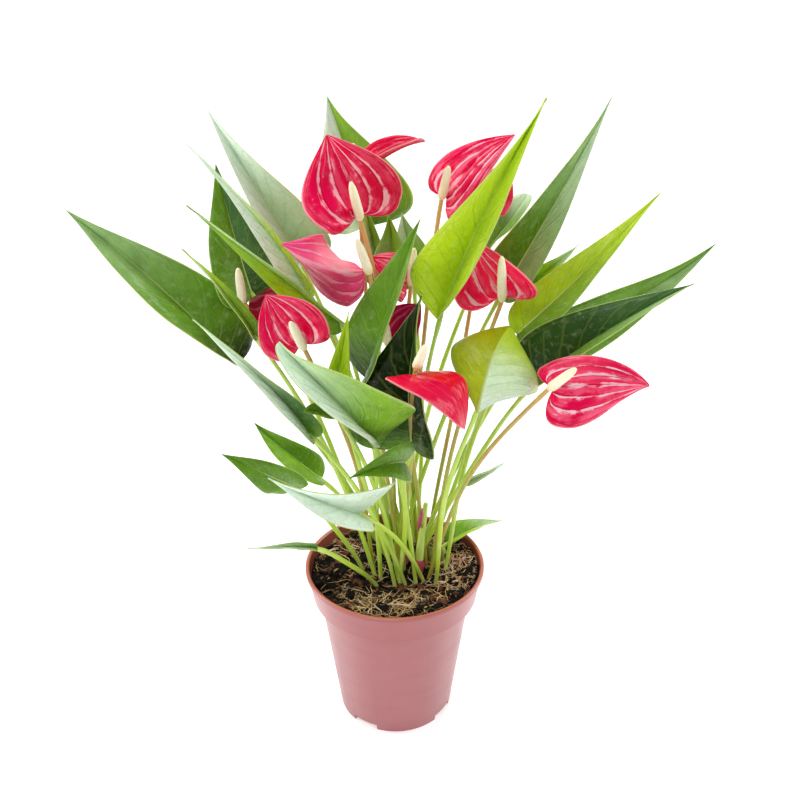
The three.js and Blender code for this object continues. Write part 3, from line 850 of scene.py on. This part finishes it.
def masterBlade(kind):
    # a flat sheet two units square, its columns crowded towards the midrib and its rows evenly spaced
    deselectAll()
    bpy.ops.mesh.primitive_grid_add(x_subdivisions=kind["columns"], y_subdivisions=kind["rows"], size=2)
    sheet = newest("masterBlade")
    for point in sheet.data.vertices:
        point.co.x = math.copysign(abs(point.co.x) ** bladeShape["crowding"], point.co.x)
    return sheet


def readTones(words):
    # three tones from joint to tip for the left half and then the right, three for both, or one for the blade
    halves = [half.split() for half in words.split(",")]
    halves = [half * (3 // len(half)) for half in (halves[0], halves[-1])]
    return [[Vector(linear(*palette[word])) for word in half] for half in halves]


def toneAt(tones, aside, along):
    half = tones[0] if aside < 0 else tones[1]
    if along < 0.5:
        return half[0].lerp(half[1], ease(0.08, 0.5, along))
    return half[1].lerp(half[2], ease(0.5, 0.92, along))


def leafLift(leaf, aside, along, half, seed):
    # how far the surface stands above the folded sheet, in metres
    size = abs(aside)
    lift = bladeShape["leafBulge"] * size ** 2 * (1 - size) * half
    phase = along * veinShape["pairs"] - size * veinShape["slant"]
    swell = math.sin(math.pi * (phase % 1)) ** 0.6
    lift += bladeShape["quilt"] * mm * swell * ease(0.04, 0.2, size) * (1 - ease(0.82, 0.95, size))
    lift -= bladeShape["groove"] * mm * (1 - ease(0.0, 0.07, size))
    ripple = noise.noise(Vector((seed * 7.3, along * 4.2, 2.0 if aside > 0 else -2.0)))
    return lift + bladeShape["wave"] * mm * ripple * size ** 2.5


def spatheLift(flower, aside, along, half, seed):
    # the same for a spathe, whose panels swell more where its painted highlight streaks are stronger
    size = abs(aside)
    lift = bladeShape["spatheBulge"] * size * (1 - size) * half
    relief = min(1.0, flower["gloss"] + 0.1)
    panel = (size * veinShape["panels"]) % 1
    swell = math.sin(math.pi * panel) ** 0.55 * ease(0.0, 0.15, along) * (1 - ease(0.8, 1.0, along))
    lift += bladeShape["spatheQuilt"] * relief * mm * swell * (1 - ease(0.88, 1.0, size))
    lift += 0.5 * mm * noise.noise(Vector((aside * 7, along * 9, seed * 3.1))) * ease(0.05, 0.3, size)
    return lift - bladeShape["groove"] * mm * (1 - ease(0.0, 0.06, size))


# how each kind of blade is made: its grid, its thickness and its midrib's depth and radii in millimetres
bladeKinds = {
    "leaf": {"columns": 32, "rows": 60, "thickness": 0.5, "brightness": 1.1, "lift": leafLift,
        "skins": leafSkins, "rib": stemSkins["midrib"],
        "ribDrop": 0.25, "ribSizes": (1.0, 0.14), "ribEnd": 0.93},
    "spathe": {"columns": 44, "rows": 52, "thickness": 0.7, "brightness": 1.0, "lift": spatheLift,
        "skins": spatheSkins, "rib": stemSkins["spatheRib"],
        "ribDrop": 0.3, "ribSizes": (0.7, 0.12), "ribEnd": 0.85},
}


def shapeBlade(master, name, kind, sheet, rail, seed):
    blade = copyOf(master, Matrix())
    blade.name = blade.data.name = name
    made = bladeKinds[kind]
    form = forms[sheet.get("form", kind)]
    tones = readTones(sheet["tones"])
    body = blade.vertex_groups.new(name="body")  # how thick the blade is, thinner at its tip
    for k, point in enumerate(blade.data.vertices):
        body.add([k], 1 - bladeShape["tipThinning"] * ease(0.7, 1.0, point.co.y), "REPLACE")
    paint = blade.data.color_attributes.new("tone", "FLOAT_COLOR", "POINT")
    # the tone holds each half's colour with painted sheen and shade, and in alpha the painted streaks'
    # strength
    for k, point in enumerate(blade.data.vertices):
        aside, along = point.co.x, (point.co.y + 1) / 2
        station = between(bladeShape["firstStation"], bladeShape["lastStation"], along)
        edge = outlineAt(form, station)
        run = between(station ** bladeShape["midribEase"], edge.x, abs(aside)) * rail[1]
        half = edge.y * sheet["width"] * mm / 2
        point.co = bladePoint(sheet, rail, run, aside * half, made["lift"](sheet, aside, along, half, seed))
        paint.data[k].color = (*(toneAt(tones, aside, along) * made["brightness"]), sheet.get("gloss", 0.8))
    for skin in made["skins"]:
        blade.data.materials.append(skin)
    useModifier(blade, "SOLIDIFY", thickness=made["thickness"] * mm, offset=0, material_offset=1,
                use_rim=True, vertex_group="body")
    smooth(blade)
    return blade


def addRib(kind, sheet, rail):
    # the raised midrib, lying in the blade and tapering towards the tip
    made = bladeKinds[kind]
    points, radii = [], []
    steps = 16
    for k in range(steps + 1):
        share = between(0.01, made["ribEnd"], k / steps)
        point, direction = rail[0](share)
        up, side = spreadOf(sheet, direction, share)
        points.append(point - up * (made["ribDrop"] * mm))
        radii.append(between(*made["ribSizes"], (k / steps) ** 0.8) * mm)
    return addTube(points, radii, made["rib"], 2)


# Each leaf: where its petiole stands, where the blade joins it and ends, the way its upper side faces,
# its width, how far each half folds up in degrees, how far the midrib arches and sweeps, the turn from joint
# to tip in degrees, how much wider its right half is, and its tones, which paint the sheen and shade on each
# half from joint to tip along with the leaf's green.
leaves = {
    "left_broad": {"foot": (-23, 6), "joint": (-95, 5, 261), "tip": (-197, 40, 348), "face": (7, -13, 13),
        "width": 56, "fold": 28, "arch": 8, "twist": -74, "tones": "night fern sage"},
    "left_pale": {"foot": (-17, 19), "joint": (-59, 62, 306), "tip": (-113, 75, 401), "face": (4, -19, 5),
        "width": 54, "fold": 54, "arch": 10, "twist": -33, "skew": 0.13,
        "tones": "mist frost frost, sage mist frost"},
    "left_upright": {"foot": (-17, 12), "joint": (-87, 34, 293), "tip": (-106, 52, 372),
        "face": (7, -18, 6), "width": 47, "fold": 17, "arch": 6, "sweep": -2, "twist": -35, "skew": -0.13,
        "tones": "moss moss moss, deep slate slate"},
    "left_folded": {"foot": (-12, 5), "joint": (-51, 25, 298), "tip": (-117, 23, 391),
        "face": (-4, -19, -3), "width": 22, "fold": 48, "arch": 4, "sweep": 8, "twist": -20,
        "tones": "frost frost frost, lime sun frost"},
    "left_bright": {"foot": (-9, -2), "joint": (-28, 5, 285), "tip": (-112, -19, 368),
        "face": (-5, -17, -8), "width": 25, "fold": 36, "arch": 3, "sweep": 4,
        "tones": "moss lime fresh, fresh fresh mist"},
    "left_slim": {"foot": (-21, -7), "joint": (-80, -14, 286), "tip": (-118, -14, 341),
        "face": (12, -13, 8), "width": 13, "fold": 50, "arch": 5,
        "tones": "moss fresh mist, fern fresh sun"},
    "left_trough": {"foot": (-20, -15), "joint": (-48, -40, 234), "tip": (-106, -62, 319),
        "face": (6, -19, -1), "width": 22, "fold": 54, "arch": 7, "sweep": 5, "twist": -74,
        "tones": "sage frost frost, fern slate mist"},
    "front_pale": {"foot": (-8, -22), "joint": (-10, -35, 223), "tip": (-59, -78, 312),
        "face": (0, -15, 13), "width": 56, "fold": 58, "arch": 14, "sweep": -2, "twist": -76, "skew": 0.51,
        "form": "shield", "tones": "frost frost frost, fresh fresh mist"},
    "tucked_left": {"foot": (-14, -22), "joint": (-29, -47, 249), "tip": (-49, -67, 265),
        "face": (13, -2, 15), "width": 16, "fold": 25, "arch": -3, "sweep": 6, "tones": "fern"},
    "low_left_back": {"foot": (-25, 13), "joint": (-49, 24, 166), "tip": (-94, 40, 202),
        "face": (6, -12, 15), "width": 32, "fold": 25, "arch": 5, "sweep": -3, "twist": -70, "skew": -0.2,
        "tones": "fresh fresh fern, fresh moss fern"},
    "low_left": {"foot": (-27, -2), "joint": (-61, -12, 182), "tip": (-106, -20, 212), "face": (4, -20, 0),
        "width": 29, "fold": 7, "arch": 5, "sweep": 2, "twist": 74,
        "tones": "fresh fern fern, fern moss moss"},
    "low_front": {"foot": (0, -26), "joint": (-21, -58, 192), "tip": (-68, -92, 239), "face": (12, -16, 1),
        "width": 52, "fold": 54, "arch": 7, "twist": -65, "skew": 0.3,
        "tones": "mist frost frost, frost frost frost"},
    "small_front": {"foot": (5, -20), "joint": (6, -49, 222), "tip": (-25, -75, 227), "face": (12, -12, 10),
        "width": 27, "fold": 29, "arch": 8, "sweep": 2, "twist": 25, "tones": "sage fern moss"},
    "low_left_slim": {"foot": (-26, -13), "joint": (-48, -48, 161), "tip": (-88, -62, 171),
        "face": (8, -12, 14), "width": 9, "fold": 56, "arch": 3, "tones": "fern mist mist, fern sage mist"},
    "low_right": {"foot": (27, 7), "joint": (37, 24, 113), "tip": (76, 36, 123), "face": (-4, -2, 19),
        "width": 24, "fold": 32, "arch": 3, "tones": "fern fresh mist, sun sun mist"},
    "centre_tall": {"foot": (9, -5), "joint": (27, -7, 293), "tip": (78, -40, 428), "face": (-7, -19, 0),
        "width": 51, "fold": 50, "arch": 0, "sweep": -3, "twist": 56, "skew": -0.17, "form": "taper",
        "tones": "zest zest sun, zest sun sun"},
    "centre_mid": {"foot": (-2, -17), "joint": (-15, -26, 265), "tip": (16, -18, 359), "face": (-17, -9, 6),
        "width": 49, "fold": 22, "arch": 3, "sweep": 3, "twist": 23, "skew": -0.13,
        "tones": "deep moss fern"},
    "bright_slim": {"foot": (-12, -15), "joint": (-34, -40, 258), "tip": (-24, -42, 314),
        "face": (0, -20, -1), "width": 20, "fold": 41, "arch": -1, "tones": "lime lime sun"},
    "centre_dark": {"foot": (13, -13), "joint": (11, -34, 224), "tip": (16, -46, 325),
        "face": (-14, -14, -1), "width": 62, "fold": 25, "arch": 6, "twist": -40, "skew": -0.2,
        "tones": "moss night night, deep night deep"},
    "top_back": {"foot": (-9, 21), "joint": (-19, 78, 324), "tip": (-40, 92, 404), "face": (2, -20, 4),
        "width": 72, "fold": 29, "arch": 2, "sweep": 2, "twist": -59,
        "tones": "mist frost frost, fern fresh fresh"},
    "back_narrow": {"foot": (-1, 19), "joint": (-10, 52, 309), "tip": (-17, 62, 346), "face": (0, -19, 5),
        "width": 17, "fold": 45, "arch": 3, "tones": "fresh mist sun, fern fresh fresh"},
    "back_short": {"foot": (-3, 11), "joint": (-3, 36, 299), "tip": (-2, 44, 343), "face": (-1, -20, 4),
        "width": 32, "fold": 29, "arch": 3, "sweep": 2, "tones": "fern sage fresh, fern fresh fresh"},
    "back_right": {"foot": (4, 24), "joint": (14, 54, 297), "tip": (6, 62, 338), "face": (1, -20, 4),
        "width": 34, "fold": 27, "arch": 6, "tones": "sage sage mist, fresh fresh sage"},
    "right_tall": {"foot": (12, 4), "joint": (67, 34, 292), "tip": (129, 48, 411), "face": (1, -20, 2),
        "width": 35, "fold": 29, "arch": 5, "twist": 46, "skew": -0.17,
        "tones": "slate moss sage, fern sage mist"},
    "right_bright": {"foot": (25, -2), "joint": (76, 14, 275), "tip": (158, 26, 360),
        "face": (-10, -12, 12), "width": 33, "fold": 20, "arch": 3, "sweep": 4, "twist": -5,
        "tones": "lime lime sun, moss fresh sun"},
    "right_back": {"foot": (21, 11), "joint": (88, 38, 257), "tip": (200, 40, 324), "face": (1, -20, -2),
        "width": 47, "fold": 25, "arch": 9, "sweep": 2, "twist": -6, "skew": -0.1,
        "tones": "moss moss fern, fern fern sage"},
    "right_dark": {"foot": (20, -9), "joint": (83, -10, 251), "tip": (173, -14, 318), "face": (-11, -8, 15),
        "width": 53, "fold": 39, "arch": 8, "sweep": 2, "twist": 8,
        "tones": "night deep slate, deep fern sage"},
    "front_right": {"foot": (13, -20), "joint": (45, -76, 268), "tip": (69, -8, 290), "face": (4, -7, 18),
        "width": 62, "fold": -25, "arch": 6, "sweep": -3, "skew": 0.14, "form": "diamond",
        "tones": "citrus citrus citrus, frost mist sun"},
    "back_lobe": {"foot": (11, 18), "joint": (61, 64, 312), "tip": (90, 101, 338), "face": (-7, -8, 17),
        "width": 19, "fold": 29, "arch": 1, "sweep": 2, "twist": 18, "form": "round",
        "tones": "fern fern mist"},
    "back_tip": {"foot": (20, 3), "joint": (87, 48, 294), "tip": (120, 64, 316), "face": (1, -17, 10),
        "width": 13, "fold": 40, "arch": 2, "tones": "fresh lime mist"},
    "low_back": {"foot": (18, 20), "joint": (48, 54, 143), "tip": (82, 66, 154), "face": (4, -18, 7),
        "width": 9, "fold": 50, "arch": 3, "tones": "fresh mist frost"},
}


def makeLeaf(master, name, leaf, seed):
    rail = midribOf(leaf, Vector(leaf["joint"]) * mm)
    blade = shapeBlade(master, name, "leaf", leaf, rail, seed)
    petiole = addStem(leaf, rail[0](0.04)[0], stemShape["petiole"], stemSkins["petiole"], seed)
    made = joinAll("leaf_" + name, [blade, petiole, addRib("leaf", leaf, rail)])
    standFor(made, "leaf_" + name)


leafMaster = masterBlade(bladeKinds["leaf"])
for seed, (name, leaf) in enumerate(leaves.items()):
    makeLeaf(leafMaster, name, leaf, seed)
bpy.data.objects.remove(leafMaster)
print("leaves made:", len(leaves))


# the young shoot low in the middle: a thick pale stem in a magenta collar, and three more scales
# each part: its skin, then its points and radii in millimetres
shoot = [
    ("sheath", [((15, -3, 106), 2.6), ((16, -2, 113), 3.0), ((17, 1, 124), 2.8), ((19, 5, 140), 2.2),
                ((21, 9, 156), 1.5)]),
    ("bud", [((15, -3.6, 105), 3.1), ((15.2, -3.4, 110), 3.9), ((15.8, -3, 114), 4.2),
             ((16.2, -2.6, 118), 3.2)]),
    ("bud", [((8, -2, 115), 0.6), ((9.5, -1.5, 121), 2.0), ((11, -1, 127), 1.5), ((12, -1, 132), 0.3)]),
    ("bud", [((15.5, 0, 140), 0.5), ((16.5, 0, 146), 1.5), ((17.7, 0.5, 152), 1.3), ((18.5, 1, 157), 0.2)]),
    ("bud", [((31, 14, 122), 0.5), ((36, 17, 137), 0.6), ((40, 18, 148), 0.6), ((43, 19, 158), 0.3)]),
]


def makeShoot():
    made = []
    steps = 5
    for skin, rows in shoot:
        points = smoothThrough([Vector(point) * mm for point, radius in rows], steps)
        radii = []
        for k in range(len(points)):
            low = min(k // steps, len(rows) - 2)
            radii.append(between(rows[low][1], rows[low + 1][1], min(k / steps - low, 1)) * mm)
        made.append(addTube(points, radii, stemSkins[skin], 3))
    standFor(joinAll("youngShoot", made), "leaf_right_tall")


makeShoot()
print("shoot made")


# flowers

spadixShape = {
    "columns": 40, "rows": 64, "radius": 2.75, "rootShare": 0.14, "grain": 0.13, "around": 9, "turns": 26,
    "tones": ((0.97, 0.86, 0.60), (1.0, 0.97, 0.84), (0.95, 0.95, 0.72)),  # root, middle and tip
}
spatheStandoff = {"along": 3.5, "behind": 1.4}
# Each flower: where its stalk stands, where the spathe joins it and ends, the way its inside faces, where
# the spadix ends, and the same shape words as a leaf, whose tones paint the spathe's sheen and shade along
# with its colour. gloss is how strong the spathe's painted highlight streaks are and how far its panels
# swell, and bow how far the stalk bends aside.
flowers = {
    "upper_left": {"foot": (-4, 4), "joint": (-18, 6, 351), "tip": (-36, 12, 398), "face": (2, -20, 3),
        "end": (-22, -18, 379), "width": 64, "fold": 15, "sweep": 2, "twist": -74, "skew": -0.1,
        "gloss": 0.95, "tones": "crimson cherry crimson, cherry crimson crimson"},
    "upper_right": {"foot": (4, 14), "joint": (30, 40, 353), "tip": (73, 44, 390), "face": (-11, -10, 13),
        "end": (33, 22, 377), "width": 41, "fold": 7, "arch": 6, "sweep": 2, "twist": -19, "gloss": 1.5,
        "tones": "cherry cherry cherry, cherry cherry crimson"},
    "side_left": {"foot": (1, -7), "joint": (-13, -6, 322), "tip": (-62, -16, 344), "face": (5, -19, 1),
        "end": (-20, -8, 344), "width": 63, "fold": -60, "arch": 6, "sweep": -4, "twist": -67, "skew": 0.1,
        "gloss": 0.6, "tones": "orchid orchid blush, orchid blush orchid"},
    "dark_left": {"foot": (-18, 1), "joint": (-89, 6, 301), "tip": (-53, -2, 310), "face": (-6, -10, 16),
        "end": (-89, -2, 325), "width": 45, "fold": -38, "arch": 4, "gloss": 0.1,
        "tones": "wine wine crimson, wine wine wine"},
    "lower_left": {"foot": (-13, -8), "joint": (-50, -36, 289), "tip": (-70, -34, 321), "face": (2, -20, 2),
        "end": (-55, -54, 313), "width": 45, "fold": 11, "arch": 1, "sweep": -1, "twist": 54, "skew": 0.11,
        "gloss": 0.95, "tones": "crimson cherry cherry, crimson crimson cherry"},
    "centre_right": {"foot": (15, -3), "joint": (65, 4, 301), "tip": (45, 8, 339), "face": (-11, -16, -4),
        "end": (60, -28, 340), "width": 56, "fold": 10, "arch": 2, "sweep": 1, "twist": -13, "gloss": 1.0,
        "tones": "flame flame flame, rose flame flame"},
    "right_low": {"foot": (22, -16), "joint": (86, -57, 273), "tip": (145, -46, 269), "face": (2, -18, 7),
        "end": (97, -73, 293), "width": 42, "fold": -14, "arch": 3, "sweep": -2, "twist": 64, "skew": 0.1,
        "gloss": 1.4, "tones": "cherry rose cherry, cherry cherry rose"},
    "front_red": {"foot": (6, -13), "joint": (12, -68, 291), "tip": (38, -82, 262), "face": (13, -6, 14),
        "end": (18, -58, 301), "width": 47, "fold": 0, "arch": 12, "sweep": 3, "skew": 0.15, "gloss": 0.05,
        "tones": "scarlet scarlet crimson, scarlet crimson crimson"},
    "back_magenta": {"foot": (3, 0), "joint": (-3, 4, 273), "tip": (17, 10, 297), "face": (-10, -15, 9),
        "end": (-5, -4, 294), "width": 33, "fold": 6, "arch": 3, "gloss": 0.2, "tones": "magenta"},
    "back_pink": {"foot": (5, 6), "joint": (11, 18, 306), "tip": (-13, 12, 326), "face": (0, -12, 14),
        "end": (13, 14, 331), "width": 28, "fold": 4, "arch": 3, "gloss": 1.4, "tones": "rose rose cherry"},
    "behind_edge": {"foot": (-9, 13), "joint": (-18, 23, 375), "tip": (20, 48, 385), "face": (-3, -3, 18),
        "end": (-22, 20, 391), "width": 25, "fold": 34, "arch": 6, "sweep": 6, "twist": 7, "gloss": 0.4,
        "bow": (-17, 0), "tones": "rose crimson crimson"},
    "behind_small": {"foot": (13, 11), "joint": (61, 56, 336), "tip": (71, 62, 370), "face": (9, -18, 0),
        "end": (52, 30, 348), "width": 31, "fold": 2, "arch": 1, "sweep": -2, "twist": -20, "gloss": 0.2,
        "tones": "crimson crimson cherry"},
}


def masterSpadix():
    # a blunt rod one unit long, thinner at its root and set with small grains in crossing spirals
    deselectAll()
    bpy.ops.mesh.primitive_uv_sphere_add(segments=spadixShape["columns"], ring_count=spadixShape["rows"],
                                         radius=1)
    rod = newest("masterSpadix")
    paint = rod.data.color_attributes.new("tone", "FLOAT_COLOR", "POINT")
    root, cream, green = (Vector(linear(*tone)) for tone in spadixShape["tones"])
    for k, point in enumerate(rod.data.vertices):
        share = 1 - math.acos(min(1.0, max(-1.0, point.co.z))) / math.pi
        angle = math.atan2(point.co.y, point.co.x)
        if share < spadixShape["rootShare"]:
            radius = between(0.5, 1.0, (share / spadixShape["rootShare"]) ** 0.6)
        else:
            rest = (share - spadixShape["rootShare"]) / (1 - spadixShape["rootShare"])
            radius = math.sqrt(max(0.0, 1 - rest ** 4.5)) * (1 - 0.12 * rest)
        swirl, around = spadixShape["turns"] * share, spadixShape["around"] * angle / 2
        grain = abs(math.sin(around + swirl) * math.sin(around - swirl))
        radius *= spadixShape["radius"]
        radius += spadixShape["grain"] * grain * min(1.0, radius)
        flat = Vector((math.cos(angle), math.sin(angle), 0)) * (radius * mm if 0 < share < 1 else 0)
        point.co = flat + Vector((0, 0, share))
        colour = root.lerp(cream, ease(0.0, 0.3, share)).lerp(green, ease(0.8, 1.0, share))
        paint.data[k].color = (*colour, 1)
    rod.data.materials.append(spadixSkin)
    smooth(rod)
    return rod


def makeFlower(spatheMaster, spadixMaster, name, flower, seed):
    joint, end = Vector(flower["joint"]) * mm, Vector(flower["end"]) * mm
    chord = (Vector(flower["tip"]) * mm - joint).normalized()
    facing = squareTo(Vector(flower["face"]), chord)
    start = joint + chord * (spatheStandoff["along"] * mm) - facing * (spatheStandoff["behind"] * mm)
    rail = midribOf(flower, start)
    blade = shapeBlade(spatheMaster, name, "spathe", flower, rail, seed + 40)
    standFor(joinAll("spathe_" + name, [blade, addRib("spathe", flower, rail)]), "spathe_" + name)
    rod = copyOf(spadixMaster, place(joint, end - joint, (1, 1, (end - joint).length), seed * 0.7))
    stalk = addStem(flower, joint, stemShape["stalk"], stemSkins["flowerStalk"], seed + 0.5)
    standFor(joinAll("spadix_" + name, [rod, stalk]), "spadix_" + name)


spatheMaster = masterBlade(bladeKinds["spathe"])
spadixMaster = masterSpadix()
for seed, (name, flower) in enumerate(flowers.items()):
    makeFlower(spatheMaster, spadixMaster, name, flower, seed)
bpy.data.objects.remove(spatheMaster)
bpy.data.objects.remove(spadixMaster)
print("flowers made:", len(flowers))


# floor, light and camera

room = {
    "floorSize": 16.0, "floorDrop": 0.2, "floorTone": (0.95, 0.95, 0.95),
    "nearGlow": 0.36, "farGlow": 0.66, "worldStrength": 0.42,
    # place, the point it shines at, width and height in metres, power in watts
    "lamps": {
        "leftBox": ((-1.35, 0.2, 0.95), (0, 0, 0.25), (0.5, 1.3), 13),
        "rightBox": ((1.35, 0.4, 0.9), (0, 0, 0.25), (0.5, 1.3), 13),
        "topBox": ((-0.1, 0.9, 1.5), (0, 0, 0.25), (1.4, 0.45), 13),
        "frontBox": ((-0.35, -1.3, 1.55), (0, 0, 0.2), (1.0, 0.4), 10),
    },
}
lens = {
    "place": (0.0, -0.55676, 0.52429), "millimetres": 45.585, "sensor": 36,
    "right": (0.99994, -0.00965, -0.0045), "up": (0.00842, 0.45782, 0.88901),
    "back": (-0.00652, -0.88899, 0.45787),
}


def makeRoom():
    deselectAll()
    bpy.ops.mesh.primitive_plane_add(size=room["floorSize"], location=(0, 0, -room["floorDrop"] * mm))
    floor = newest("paleFloor")
    bpy.ops.object.transform_apply(location=True)
    paper = Finish("paleFloor", Roughness=0.9, Specular_IOR_Level=0.1, Emission_Strength=1.0)
    # the floor glows, less near the pot than far off: it lights the plant from below and reads white far away
    distance = paper.node("ShaderNodeVectorMath", {"operation": "LENGTH"}, {0: paper.here()}, out=1)
    near, far = room["nearGlow"], room["farGlow"]
    glow = paper.mix(distance.step(0.25, 2.5), (near, near, near), (far, far, far))
    colour = paper.mix(paper.cloud(3, 2, 0.5) * 0.1, linear(*room["floorTone"]), linear(0.97, 0.97, 0.97))
    floor.data.materials.append(paper.feed(Base_Color=colour, Emission_Color=glow))
    world = bpy.data.worlds.new("whiteRoom")
    bpy.context.scene.world = world
    world.use_nodes = True
    sky = world.node_tree.nodes["Background"].inputs
    sky["Color"].default_value = (1, 1, 1, 1)
    sky["Strength"].default_value = room["worldStrength"]
    for name, (at, target, size, power) in room["lamps"].items():
        bpy.ops.object.light_add(type="AREA", location=at)
        lamp = newest(name)
        lamp.data.shape = "RECTANGLE"
        lamp.data.size, lamp.data.size_y = size
        lamp.data.energy = power
        lamp.rotation_euler = (Vector(target) - Vector(at)).to_track_quat("-Z", "Y").to_euler()
    bpy.ops.object.camera_add(location=lens["place"])
    camera = newest("camera")
    camera.data.lens = lens["millimetres"]
    camera.data.sensor_width = lens["sensor"]
    turn = Matrix((lens["right"], lens["up"], lens["back"])).transposed()
    camera.rotation_euler = turn.to_euler()
    camera.data.clip_start = 0.01
    bpy.context.scene.camera = camera
    bpy.context.scene.view_settings.view_transform = "Standard"


makeRoom()
print("room made")
